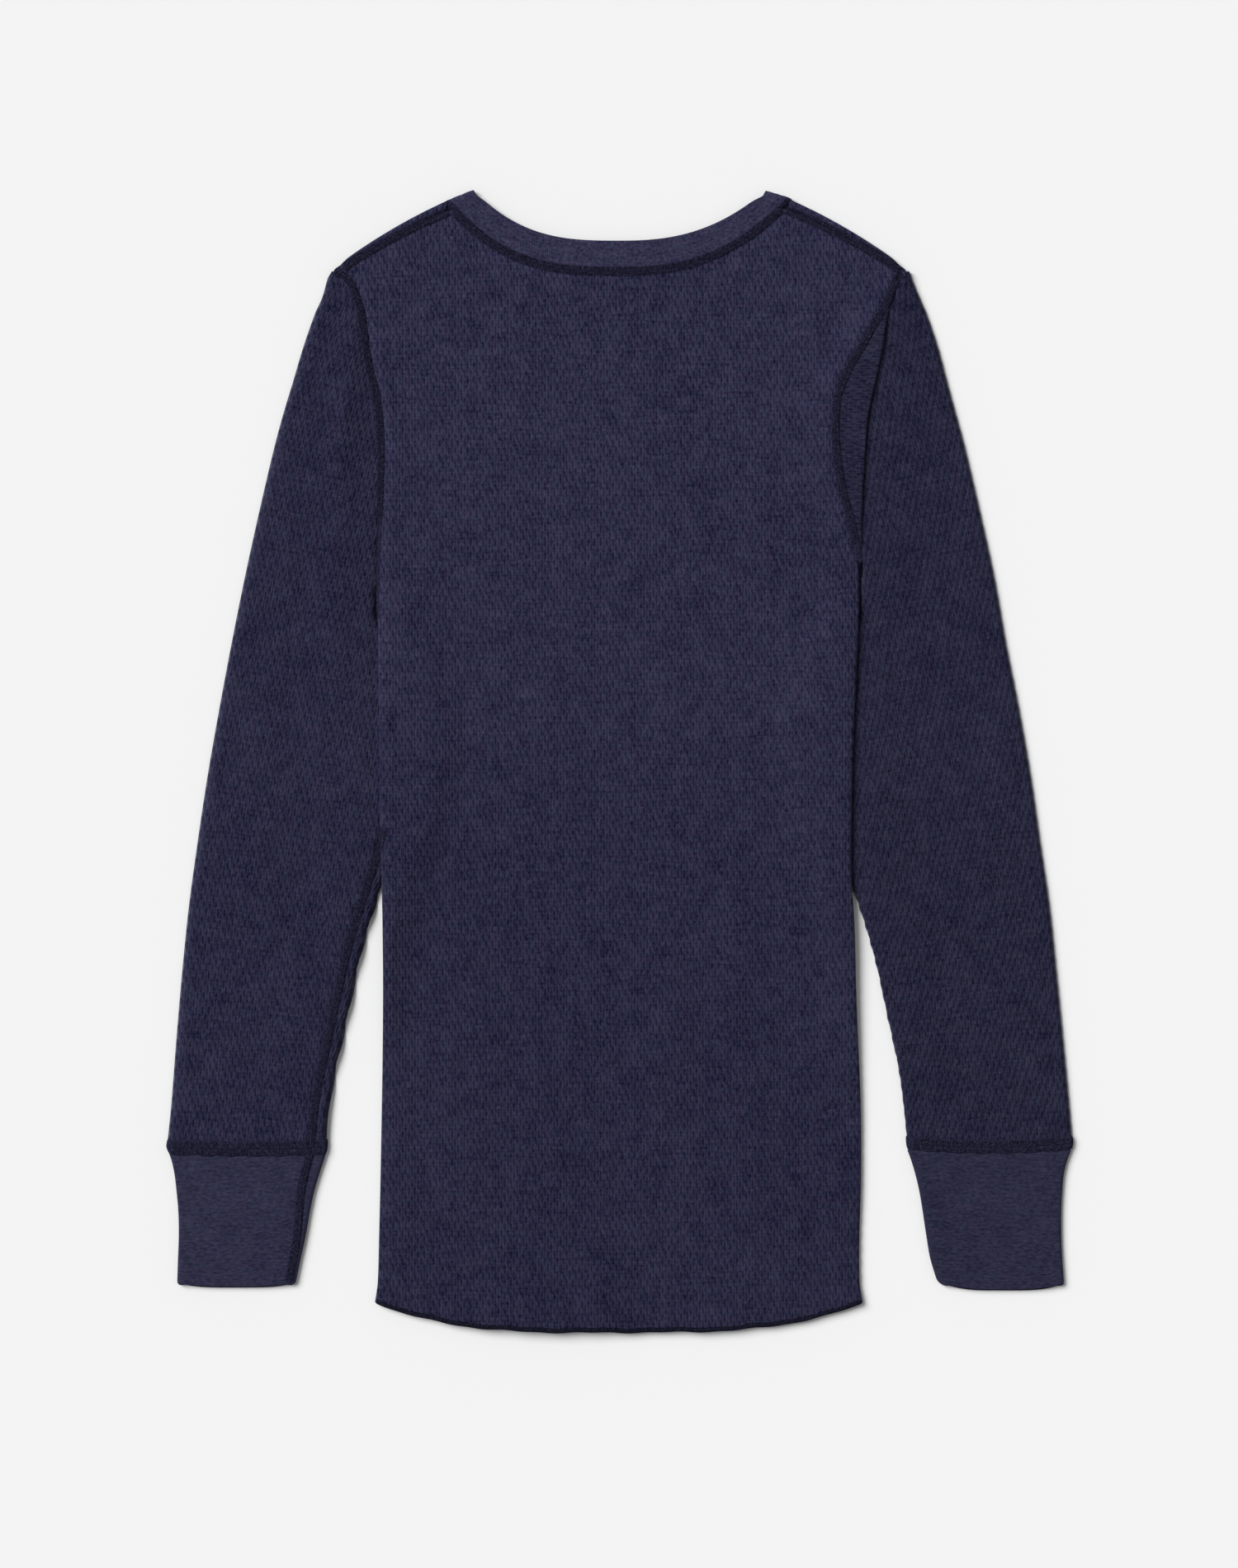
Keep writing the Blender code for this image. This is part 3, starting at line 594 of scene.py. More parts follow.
def back_height(x, drop):
    edge = by_side(body_edge, x, drop)
    lift = pick(x, ARMHOLE_LIFT[-1], ARMHOLE_LIFT[1])
    by_armhole = (
        smooth(np.abs(x), edge - ARMHOLE_LIFT_WIDTH, edge - 2 * ROLL_RADIUS)
        * smooth(drop, SHOULDER_DROP, SHOULDER_DROP + 0.020)
        * (1 - smooth(drop, UNDERARM_DROP - 0.030, UNDERARM_DROP + 0.010))
    )
    waves = sum(rise * np.exp(-(((x - centre) / width) ** 2)) for centre, width, rise in HEM_LIFTS)
    softened = smooth(np.abs(x), edge - EDGE_SOFT, edge + 0.0005) ** 1.3
    softened = softened * smooth(drop, SHOULDER_DROP, SHOULDER_DROP + 0.015) * pick(x, 1, EDGE_FALL_RIGHT)
    return (
        FLOOR + BODY_LOFT + lift * by_armhole - EDGE_FALL * softened
        + OVER_SLEEVE * over_sleeve(x, drop, 0.024)
        + waves * smooth(drop, LENGTH - HEM_LIFT_DEPTH, LENGTH)
        + body_forms(x, drop) * smooth(edge - np.abs(x), 0, 0.020)
    )


# ------------------------------------------------------------------ closed shells of cloth
def within(points, loop):
    """Which of the points are inside a closed loop."""
    ahead = np.roll(loop, -1, axis=0)
    crossing = (loop[:, 1] > points[:, 1:]) != (ahead[:, 1] > points[:, 1:])
    run, rise = ahead[:, 0] - loop[:, 0], ahead[:, 1] - loop[:, 1]
    with np.errstate(divide="ignore", invalid="ignore"):
        cuts = loop[:, 0] + (points[:, 1:] - loop[:, 1]) / rise * run
    return np.sum(crossing & (cuts < points[:, :1]), axis=1) % 2 == 1


def on_lattice(loop, step, rows):
    """A flat mesh inside a closed loop: a lattice of those steps, joined by triangles to the loop and to rows
    of further points.

    Gives its points, the loop's and the rows' first, then its quads and its triangles.
    """
    grid = loop / step
    further = rows / step
    ahead = np.roll(grid, -1, axis=0)
    low = np.floor(grid.min(axis=0)).astype(int) - 1
    wide, tall = np.ceil(grid.max(axis=0)).astype(int) + 1 - low + 1
    inside = np.zeros((wide, tall), dtype=bool)
    for j in range(tall):
        level = low[1] + j + 1e-7
        crosses = (grid[:, 1] > level) != (ahead[:, 1] > level)
        if not crosses.any():
            continue
        a, b = grid[crosses], ahead[crosses]
        cuts = a[:, 0] + (level - a[:, 1]) / (b[:, 1] - a[:, 1]) * (b[:, 0] - a[:, 0])
        inside[:, j] = (np.searchsorted(np.sort(cuts), low[0] + np.arange(wide)) % 2) == 1
    shares = np.linspace(0, 1, 12, endpoint=False)[:, None, None]
    dense = (grid[None] * (1 - shares) + ahead[None] * shares).reshape(-1, 2)
    dense = np.concatenate([dense, further])
    nearest = np.rint(dense).astype(int)
    close = np.linalg.norm(dense - nearest, axis=1) < 0.45
    nearest = np.clip(nearest - low, 0, [wide - 1, tall - 1])
    inside[nearest[close, 0], nearest[close, 1]] = False
    cells = inside[:-1, :-1] & inside[1:, :-1] & inside[:-1, 1:] & inside[1:, 1:]
    index = np.full((wide, tall), -1)
    ii, jj = np.nonzero(inside)
    fixed = len(loop) + len(rows)
    index[ii, jj] = np.arange(len(ii)) + fixed
    points = np.concatenate([grid, further, np.stack([ii + low[0], jj + low[1]], axis=1)])
    ci, cj = np.nonzero(cells)
    quads = np.stack([index[ci, cj], index[ci + 1, cj], index[ci + 1, cj + 1], index[ci, cj + 1]], axis=1)

    padded = np.pad(cells, 1)
    edges = []
    for di, dj, a, b in ((0, -1, (0, 0), (1, 0)), (1, 0, (1, 0), (1, 1)), (0, 1, (1, 1), (0, 1)),
                         (-1, 0, (0, 1), (0, 0))):
        open_side = ~padded[ci + 1 + di, cj + 1 + dj]
        i, j = ci[open_side], cj[open_side]
        edges.append(np.stack([index[i + a[0], j + a[1]], index[i + b[0], j + b[1]]], axis=1))
    edges = np.concatenate(edges)
    in_cells = np.zeros((wide, tall), dtype=bool)
    for a in (0, 1):
        for b in (0, 1):
            in_cells[ci + a, cj + b] = True
    lone = index[inside & ~in_cells]
    used = np.unique(np.concatenate([np.arange(fixed), edges.ravel(), lone]))
    local = np.full(len(points), -1)
    local[used] = np.arange(len(used))
    rim = np.stack([np.arange(len(loop)), np.roll(np.arange(len(loop)), -1)], axis=1)
    links = local[np.concatenate([rim, edges])].tolist()
    made = delaunay_2d_cdt([Vector(p) for p in points[used]], links, [], 0, 1e-6, True)
    triangles = used[np.array([[made[3][k][0] for k in face] for face in made[2]])]
    centres = points[triangles].mean(axis=1)
    i, j = (np.floor(centres[:, k]).astype(int) - low[k] for k in (0, 1))
    return points * step, quads, triangles[within(centres, grid) & ~cells[i, j]]


def normals_of(surface, uv):
    small = 0.00008
    du = surface(uv + [small, 0]) - surface(uv - [small, 0])
    dv = surface(uv + [0, small]) - surface(uv - [0, small])
    across = np.cross(du, dv)
    return across / np.maximum(np.linalg.norm(across, axis=1, keepdims=True), 1e-12)


def mesh_object(name, points, faces, uvs, finish):
    """A smooth-shaded object. uvs is one pair for each point."""
    mesh = bpy.data.meshes.new(name)
    mesh.from_pydata(points.tolist(), [], [list(map(int, face)) for face in faces])
    mesh.update()
    layer = mesh.uv_layers.new(name="Cloth")
    corners = np.empty(len(mesh.loops), dtype=int)
    mesh.loops.foreach_get("vertex_index", corners)
    layer.data.foreach_set("uv", uvs[corners].astype(np.float32).ravel())
    mesh.materials.append(finish)
    mesh.shade_smooth()
    made = bpy.data.objects.new(name, mesh)
    bpy.context.scene.collection.objects.link(made)
    return made


def hollows(uv):
    """The waffle's relief, from 0 on the ridges to minus HOLLOW."""
    wave = np.cos(math.pi * uv[:, 0] / CELL_WIDE) * np.cos(math.pi * uv[:, 1] / CELL_TALL)
    return -HOLLOW * (0.5 + 0.5 * wave)


def all_flat(uv):
    return np.zeros(len(uv))


def inside_rows(rows, loop, least):
    """Those points that are within a loop and at least that far from its corners."""
    rows = rows[np.min(np.linalg.norm(rows[:, None] - loop[None], axis=2), axis=1) > least]
    return rows[within(rows, loop)]


def knit_shell(segments, surface, out, stretched=all_flat, rows=()):
    """Points, faces and uvs of a closed panel. segments are its outline's lines and out is 1 or -1,
    for an outer face on the side of the surface's normal or on the other one. stretched is where a fold pulls
    the hollows flat, from 0 to 1."""
    loop = np.concatenate([resampled(line, CELL_WIDE)[:-1] for line in segments])
    turn = np.sum(loop[:, 0] * np.roll(loop[:, 1], -1) - np.roll(loop[:, 0], -1) * loop[:, 1])
    if turn < 0:
        loop = np.concatenate([loop[:1], loop[:0:-1]])
    no_rows = np.empty((0, 2))
    extra = inside_rows(np.concatenate(rows), loop, 0.0005) if len(rows) else no_rows
    fine, quads, triangles = on_lattice(loop, MESH_STEP, extra)
    rough, inner_quads, inner_triangles = on_lattice(loop[::2], 2 * MESH_STEP, no_rows)
    relief = hollows(fine) * (1 - stretched(fine))
    relief[:len(loop)] = 0
    outer = surface(fine) + out * normals_of(surface, fine) * (CLOTH / 2 + relief)[:, None]
    inner = surface(rough) - out * normals_of(surface, rough) * CLOTH / 2
    shift, count = len(outer), len(loop)
    rims = []
    for k in range(0, count, 2):
        i0, i1 = shift + k // 2, shift + (k // 2 + 1) % (count // 2)
        rims.append([k, i0, i1, (k + 2) % count, k + 1])
    faces = quads.tolist() + triangles.tolist()
    inside = [face[::-1] for face in (inner_quads + shift).tolist() + (inner_triangles + shift).tolist()]
    if out < 0:
        faces, inside, rims = ([face[::-1] for face in part] for part in (faces, inside, rims))
    return np.concatenate([outer, inner]), faces + inside + rims, np.concatenate([fine, rough])


def joined(parts):
    """Several sets of points, faces and uvs as one."""
    points, faces, uvs, shift = [], [], [], 0
    for part_points, part_faces, part_uvs in parts:
        points.append(part_points)
        uvs.append(part_uvs)
        faces += [[k + shift for k in face] for face in part_faces]
        shift += len(part_points)
    return np.concatenate(points), faces, np.concatenate(uvs)


def tube_faces(rows, around, ring=False, inward=False):
    """Quads round a tube made of rings of points, and its two caps unless it closes into a ring itself."""
    faces = []
    for i in range(rows if ring else rows - 1):
        for j in range(around):
            a, b = i * around + j, i * around + (j + 1) % around
            c, d = (i + 1) % rows * around + (j + 1) % around, (i + 1) % rows * around + j
            faces.append([a, d, c, b] if inward else [a, b, c, d])
    if ring:
        return faces
    start, end = list(range(around)), list(range((rows - 1) * around, rows * around))
    return faces + ([start, end[::-1]] if inward else [start[::-1], end])


# ------------------------------------------------------------------ body
def as_points(x, drop, z):
    return np.stack([x, LENGTH / 2 - drop, z], axis=1)


def rolled_sides(across, drop, edge_rule, roll_rule):
    """For points of a panel's cloth: their side, where they are in its flat part, and the distance and depth
    that the rolled sides add."""
    edge = by_side(edge_rule, across, drop)
    roll = by_side(roll_rule, across, drop)
    start = roll_start(edge, roll)
    side = np.where(across < 0, -1, 1)
    flat = side * np.minimum(np.abs(across), start)
    return side, flat, *rolled(np.maximum(np.abs(across) - start, 0), roll)


def back_surface(uv):
    """Middle of the back's cloth. uv is the distance across the cloth and the drop."""
    across, drop = uv[:, 0], uv[:, 1]
    side, flat, distance, depth = rolled_sides(across, drop, body_edge, back_roll)
    return as_points(flat + side * distance, drop, back_height(flat, drop) - depth)


def cloth_half(edge, roll):
    """Half the width of the cloth, unrolled round its side."""
    return roll_start(edge, roll) + QUARTER + ROLL_TAIL


def edge_line(side, edge, roll, top, bottom):
    drops = np.linspace(top, bottom, 400)
    return np.stack([side * cloth_half(edge(side, drops), roll(side, drops)), drops], axis=1)


def shoulder_line(side):
    """The shoulder seam from neck to armhole."""
    share = np.linspace(0, 1, 40)
    x = mix(neck_end(side), SHOULDER_INNER, share)
    turn_x = mix(fold_start(side), SHOULDER_INNER, share)
    drop = read(SHOULDER_TURN, 1, turn_x) + mix(SHOULDER_OVER[0], SHOULDER_OVER[1], share)
    return np.stack([side * x, drop], axis=1)


def hem_line(shorter, side_drop):
    share = np.linspace(-1, 1, 400)
    drops = hem_drop(share)
    left, right = (cloth_half(body_edge(side, side_drop), 1.0) for side in (-1, 1))
    return np.stack([mix(-left, right, share / 2 + 0.5), drops - shorter], axis=1)


def back_outline():
    lines = []
    xs = np.linspace(-neck_end(-1), neck_end(1), 400)
    lines.append(np.stack([xs, neck_drop(NECK_SEAM, xs, "back") + SEAM_GAP / 2], axis=1))
    right = shoulder_line(1) + [0, SEAM_GAP / 2]
    end_drop = float(hem_drop(1.0))
    right_edge = edge_line(1, body_edge, back_roll, SHOULDER_DROP, end_drop)
    lines += [right, np.array([right[-1], right_edge[0]]), right_edge]
    lines.append(hem_line(0, end_drop)[::-1])
    left_edge = edge_line(-1, body_edge, back_roll, SHOULDER_DROP, end_drop)
    left = shoulder_line(-1) + [0, SEAM_GAP / 2]
    lines += [left_edge[::-1], np.array([left_edge[0], left[-1]]), left[::-1]]
    return lines


# The front's cloth turns up over the shoulders. Its uv past the turn line runs on over the fold.
def turn_drop(across):
    return read(SHOULDER_TURN, 1, np.abs(across))


def front_surface(uv):
    across, drop = uv[:, 0], uv[:, 1]
    side, flat, distance, depth = rolled_sides(across, drop, front_edge, front_roll)
    x, z = flat + side * distance, front_height(flat, drop) + depth
    turn = turn_drop(across)
    up = np.where(np.abs(across) > TURN_FROM, np.maximum(turn - drop, 0), 0)
    angle = np.clip(up / HALF_LOFT, 0, math.pi)
    rise = HALF_LOFT * np.sin(angle)
    beyond = np.maximum(up - math.pi * HALF_LOFT, 0)
    x = x + side * rise * math.sin(FOLD_LEAN)
    drop_there = np.where(up > 0, turn - rise * math.cos(FOLD_LEAN) + beyond, drop)
    z = np.where(up > 0, FLOOR + HALF_LOFT * (1 - np.cos(angle)), z)
    return as_points(x, drop_there, z)


def side_rows(edge, roll, top, bottom):
    """Rows of points along the rolled sides, where the cloth bends."""
    drops = np.arange(top, bottom, CELL_WIDE * 0.8)
    rows = []
    for side in (-1, 1):
        start = roll_start(edge(side, drops), roll(side, drops))
        for past in (-0.0032, -0.0018, -0.0006, 0.0, 0.0005, 0.0010, QUARTER * 0.97):
            rows.append(np.stack([side * (start + past), drops], axis=1))
    return rows


def turn_rows():
    """Rows of points along the turn of the front over the shoulders."""
    rows = []
    for side in (-1, 1):
        across = np.arange(fold_start(side) + 0.001, SHOULDER_HALF - 0.001, CELL_WIDE * 0.7)
        for up in np.arange(0, 9) * math.pi * HALF_LOFT / 8:
            rows.append(np.stack([side * across, turn_drop(across) - up], axis=1))
    return rows


def front_stretched(uv):
    return smooth(turn_drop(uv[:, 0]) - uv[:, 1], -0.003, 0.0) * (np.abs(uv[:, 0]) > TURN_FROM - 0.006)


def front_outline():
    lines = []
    halves = NECK_SEAM["half"]
    xs = np.linspace(-halves[-1], halves[1], 400)
    lines.append(np.stack([xs, neck_drop(NECK_SEAM, xs, "front") + SEAM_GAP / 2], axis=1))
    end_drop = float(hem_drop(1.0)) - FRONT_HEM_SHORTER
    edges = {side: edge_line(side, front_edge, front_roll, SHOULDER_DROP, end_drop) for side in (-1, 1)}
    wraps = {}
    for side in (-1, 1):
        share = np.linspace(0, 1, 40)
        x = mix(fold_start(side), SHOULDER_HALF - SEAM_GAP / 2, share)
        over = mix(SHOULDER_OVER[0], SHOULDER_OVER[1], share) - SEAM_GAP / 2
        wraps[side] = np.stack([side * x, turn_drop(x) - math.pi * HALF_LOFT - over], axis=1)
    neck_tops = {side: [side * halves[side], NECK_SEAM["top"][side] + SEAM_GAP / 2] for side in (-1, 1)}
    neck_side = {side: np.array([neck_tops[side], wraps[side][0]]) for side in (-1, 1)}
    lines += [neck_side[1], wraps[1], np.array([wraps[1][-1], edges[1][0]]), edges[1]]
    lines.append(hem_line(FRONT_HEM_SHORTER, end_drop)[::-1])
    lines += [edges[-1][::-1], np.array([edges[-1][0], wraps[-1][-1]]), wraps[-1][::-1], neck_side[-1][::-1]]
    return lines


# ------------------------------------------------------------------ sleeves
def upper_height(side, distance, drop):
    """Middle of a sleeve's upper layer, away from the armhole."""
    covered = smooth(drop, UNDERARM_DROP, UNDERARM_DROP + 0.015) * (1 - smooth(drop, *PRESSED_UNTIL))
    edge = body_edge(side, drop)
    pressed = covered * (1 - smooth(distance, edge, edge + 0.015))
    return FLOOR + mix(SLEEVE_LOFT, PRESSED_LOFT, pressed)


def inner_fold(side, drop):
    """Where a sleeve's middle surface turns at its inner fold, and the radius of the turn."""
    inner = sleeve_inner(side, drop) + CLOTH / 2
    return inner, (upper_height(side, inner, drop) - FLOOR) / 2


def armhole_start(side, drop):
    """Distance and height at which a sleeve leaves the back's armhole seam."""
    drop = np.minimum(drop, UNDERARM_DROP)
    edge, roll = body_edge(side, drop), back_roll(side, drop)
    level = back_height(side * roll_start(edge, roll), drop)
    return edge + SEAM_GAP, level - roll * (HALF_LOFT - CLOTH / 4)


def pleat_points(drop):
    """The pleat's S in section at one drop, as points of distance and height."""
    begin = [float(v) for v in armhole_start(1, drop)]
    fold, overlap, share = (float(read(PLEAT, k, drop)) for k in (1, 2, 3))
    fall = (begin[1] - FLOOR - LAYER) * min(max(share, 0), 1)
    halfway = mix(begin[0], float(sleeve_outer(1, drop)) - SLEEVE_LOFT, 0.5)
    crest = min(fold - CLOTH / 2 - PLEAT_RADIUS, halfway)
    if fall <= 1e-6:
        return np.array([[crest, begin[1]]] * 14)
    turn = math.acos(max(1 - fall / LAYER, -1))
    angles = np.linspace(0, turn, 7)
    over = np.stack([PLEAT_RADIUS * np.sin(angles), PLEAT_RADIUS * (1 - np.cos(angles))], axis=1)
    length = max(overlap, PLEAT_OVERLAP)
    last = 2 * over[-1] + [length * math.cos(turn), length * math.sin(turn)]
    path = np.concatenate([over, last - over[::-1]])
    return np.stack([crest + path[:, 0], begin[1] - fall * path[:, 1] / last[1]], axis=1)


PLEAT_DROPS = np.linspace(SHOULDER_DROP, UNDERARM_DROP, 179)
PLEAT_PATHS = np.array([pleat_points(drop) for drop in PLEAT_DROPS])


def sleeve_start(side, drop):
    """Distance and height at which a sleeve's upper layer starts: at the armhole, or under the pleat."""
    if side < 0:
        return armhole_start(side, drop)
    drop = np.minimum(drop, UNDERARM_DROP)
    return tuple(np.interp(drop, PLEAT_DROPS, PLEAT_PATHS[:, -1, k]) for k in (0, 1))


class SleeveLine:
    """The outer fold of a sleeve, which the columns of its knit follow."""

    def __init__(self, side):
        self.side = side
        self.drops = np.linspace(SLEEVE_OUTER[0][0], SLEEVE_OUTER[-1][0], 900)
        self.xs = sleeve_outer(side, self.drops) - CLOTH / 2
        steps = np.hypot(np.diff(self.xs), np.diff(self.drops))
        self.along = np.concatenate([[0], np.cumsum(steps)])
        self.tilt = np.gradient(self.xs, self.along)
        self.down = np.gradient(self.drops, self.along)

    def frame(self, s):
        return [np.interp(s, self.along, values) for values in (self.xs, self.drops, self.tilt, self.down)]

    def to_cloth(self, x, drop):
        """Distance in from the fold and place along it, for points in the plane."""
        s = np.interp(drop, self.drops, self.along)
        for _ in range(8):
            x0, drop0, tilt, down = self.frame(s)
            s = s + (x - x0) * tilt + (drop - drop0) * down
        x0, drop0, tilt, down = self.frame(s)
        return -(x - x0) * down + (drop - drop0) * tilt, s


def sleeve_surface(line):
    side = line.side

    def surface(uv):
        """Middle of a sleeve's cloth. uv is the way round it from its outer fold and the place along that."""
        around, s = uv[:, 0], uv[:, 1]
        x0, drop0, tilt, down = line.frame(s)
        start_x, start_z = sleeve_start(side, drop0)
        near = (1 - smooth(drop0, UNDERARM_DROP, UNDERARM_DROP + 0.006))

        def top(distance, drop):
            height = upper_height(side, distance, drop)
            share = smooth(distance - start_x, 0, 0.025) * near + (1 - near)
            return mix(start_z, height, share)

        radius = (top(x0 - SLEEVE_LOFT / 2, drop0) - FLOOR) / 2
        quarter = radius * math.pi / 2
        angle = np.clip(np.abs(around) / radius, 0, math.pi / 2)
        flat = np.maximum(np.abs(around) - quarter, 0)
        inward = radius * (1 - np.cos(angle)) + flat
        x, drop = x0 - down * inward, drop0 + tilt * inward
        start_x, start_z = sleeve_start(side, drop)
        near = (1 - smooth(drop, UNDERARM_DROP, UNDERARM_DROP + 0.006))
        upper = FLOOR + radius * (1 + np.sin(angle))
        settle = smooth(flat, 0, 0.006)
        upper = upper + (top(x, drop) - (FLOOR + 2 * radius)) * settle
        lower = FLOOR + radius * (1 - np.sin(angle))
        z = np.where(around >= 0, upper + sleeve_forms(side, x, drop) * settle, lower)

        inner, bend = inner_fold(side, drop)
        closed = drop > UNDERARM_DROP
        over = np.where(closed, np.maximum(bend - (x - inner), 0), 0)
        turn = np.clip(over / bend, 0, math.pi)
        beyond = np.maximum(over - math.pi * bend, 0)
        folded_x = inner + bend - bend * np.sin(turn) + beyond
        x = np.where(over > 0, folded_x, x)
        fall = bend * (1 - np.cos(turn))
        z = np.where(over > 0, np.where(around >= 0, FLOOR + 2 * bend - fall, FLOOR + fall), z)
        return as_points(side * x, drop, z)

    return surface


def sleeve_forms(side, x, drop):
    """Soft hollows and ridges of a sleeve's upper layer."""
    return sum(mound(x, drop, *form) for form in SLEEVE_FORMS[side])


def seam_place(side, drop):
    """The underarm seam, on top of the left sleeve and under the right one, as distances in the flat cloth of
    the upper and the lower layer."""
    inner, bend = inner_fold(side, drop)
    share = smooth(drop, LOBE_DROP + UNDERARM_SEAM_OUT[0], LOBE_DROP + UNDERARM_SEAM_OUT[1])
    reach = UNDERARM_SEAM_IN * share
    short = inner + reach
    round_fold = inner + mix(0, (2 - math.pi) * bend, share) - reach
    return (short, round_fold + SEAM_GAP) if side < 0 else (round_fold + SEAM_GAP, short)


def sleeve_outline(line):
    side = line.side
    bottom = CUFF_DROP - SEAM_GAP / 2
    arm = np.linspace(SHOULDER_DROP, UNDERARM_DROP, 200)
    under = np.linspace(UNDERARM_DROP, bottom, 400)[1:]
    radius = SLEEVE_LOFT / 2
    shift = radius * (math.pi / 2 - 1)

    def in_cloth(x, drop, sign):
        inward, s = line.to_cloth(x, drop)
        return np.stack([sign * (inward + shift), s], axis=1)

    upper_seam, lower_seam = seam_place(side, under)
    back_armhole = in_cloth(sleeve_start(side, arm)[0], arm, 1)
    upper = in_cloth(upper_seam, under, 1)
    front_armhole = in_cloth(front_edge(side, arm) + SEAM_GAP / 2, arm, -1)
    lower = in_cloth(lower_seam, under, -1)
    end_x = float(sleeve_outer(side, bottom)) - CLOTH / 2 - radius
    ends = []
    for seam, sign in ((upper_seam[-1], 1), (lower_seam[-1], -1)):
        xs = np.linspace(seam, end_x, 60)
        ends.append(in_cloth(xs, np.full(60, bottom), sign))
    end_s = float(np.interp(bottom, line.drops, line.along))
    across_end = np.concatenate([ends[0], [[0, end_s]], ends[1][::-1]])
    head_s = float(np.interp(SHOULDER_DROP, line.drops, line.along))
    head = np.array([front_armhole[0], [0, head_s], back_armhole[0]])
    return [back_armhole, np.concatenate([back_armhole[-1:], upper]), across_end,
            np.concatenate([lower[::-1], front_armhole[-1:]]), front_armhole[::-1], head]


def grid_shell(middle, thickness, uvs, ring=False, out=1):
    """Points, faces and uvs of a closed shell on both sides of a grid of points. A ring closes on itself
    along its columns."""
    before = np.roll(middle, 1, axis=1) if ring else np.concatenate([middle[:, :1], middle[:, :-1]], axis=1)
    after = np.roll(middle, -1, axis=1) if ring else np.concatenate([middle[:, 1:], middle[:, -1:]], axis=1)
    above = np.concatenate([middle[:1], middle[:-1]])
    below = np.concatenate([middle[1:], middle[-1:]])
    normal = np.cross(after - before, below - above)
    normal = normal / np.maximum(np.linalg.norm(normal, axis=2, keepdims=True), 1e-12) * out
    rows, columns = middle.shape[:2]
    points = np.concatenate([(middle + normal * thickness / 2).reshape(-1, 3),
                             (middle - normal * thickness / 2).reshape(-1, 3)])
    under = rows * columns
    faces = []
    last = columns if ring else columns - 1
    for i in range(rows - 1):
        for j in range(last):
            a, b = i * columns + j, i * columns + (j + 1) % columns
            face = [a, a + columns, b + columns, b]
            faces += [face, [k + under for k in face[::-1]]]
    for j in range(last):
        a, b = j, (j + 1) % columns
        faces.append([a, b, b + under, a + under])
        a, b = (rows - 1) * columns + j, (rows - 1) * columns + (j + 1) % columns
        faces.append([b, a, a + under, b + under])
    if not ring:
        for i in range(rows - 1):
            a, b = i * columns, (i + 1) * columns
            faces.append([b, a, a + under, b + under])
            a, b = a + columns - 1, b + columns - 1
            faces.append([a, b, b + under, a + under])
    if out > 0:
        faces = [face[::-1] for face in faces]
    flat = uvs.reshape(-1, 2)
    return points, faces, np.concatenate([flat, flat])


def pleat_shell():
    """The strip beside the right armhole and the folds under its edge."""
    rows, uvs = [], []
    for drop, path in zip(PLEAT_DROPS, PLEAT_PATHS):
        if not PLEAT_SHOWN[0] < drop < PLEAT_SHOWN[1]:
            continue
        begin = [float(v) for v in armhole_start(1, drop)]
        strip = np.linspace(begin, path[0], 13)[:-1]
        section = np.concatenate([strip, path])
        rows.append([(x, LENGTH / 2 - drop, z) for x, z in section])
        uvs.append([(drop, 0.3 + way) for way in ways_along(section)])
    return grid_shell(np.array(rows), CLOTH, np.array(uvs), out=-1)


def make_sleeve(side, name, finish):
    line = SleeveLine(side)
    parts = [knit_shell(sleeve_outline(line), sleeve_surface(line), 1,
                        lambda uv: 0.5 * (1 - smooth(np.abs(uv[:, 0]), 0.002, 0.006)))]
    if side > 0:
        parts.append(pleat_shell())
    return mesh_object(name, *joined(parts), finish)


# ------------------------------------------------------------------ neckband and cuffs
def neck_points(count):
    """Stations round the neckband, each a point on the seam and one on the opening, from the left tip."""
    upper, lower = FLOOR + BODY_LOFT, BAND_CLOTH / 2
    middle, radius = (upper + lower) / 2, (upper - lower) / 2

    def part(xs, layer, height):
        opening_x = xs * pick(xs, *(NECK_OPENING["half"][side] / NECK_SEAM["half"][side] for side in (-1, 1)))
        z = np.full(len(xs), height)
        seam = as_points(xs, neck_drop(NECK_SEAM, xs, layer) - SEAM_GAP / 2, z)
        opening = as_points(opening_x, neck_drop(NECK_OPENING, opening_x, layer), z)
        return np.stack([seam, opening], axis=1)

    def fold(side):
        tip = part(np.array([side * (NECK_SEAM["half"][side] - SEAM_GAP / 2)]), "back", middle)[0]
        stations = []
        for angle in np.linspace(0, math.pi, 9):
            out = BAND_FOLD_OUT * radius * math.sin(angle)
            move = [side * out * math.sin(FOLD_LEAN), out * math.cos(FOLD_LEAN), radius * math.cos(angle)]
            stations.append(tip + move)
        return np.array(stations)

    turns = np.sin(np.linspace(-math.pi / 2, math.pi / 2, 160))
    back = part(turns * pick(turns, neck_end(-1), neck_end(1)), "back", upper)
    halves = NECK_SEAM["half"]
    front = part((turns * pick(turns, halves[-1], halves[1]))[1:-1], "front", lower)
    ring = np.concatenate([back, fold(1), front[::-1], fold(-1)[::-1], back[:1]])
    flat = ring.reshape(len(ring), 6)
    length = ways_along(flat[:, :3])
    where = np.linspace(0, length[-1], count + 1)[:-1]
    flat = np.stack([np.interp(where, length, flat[:, k]) for k in range(6)], axis=1)
    return flat.reshape(count, 2, 3), length[-1]


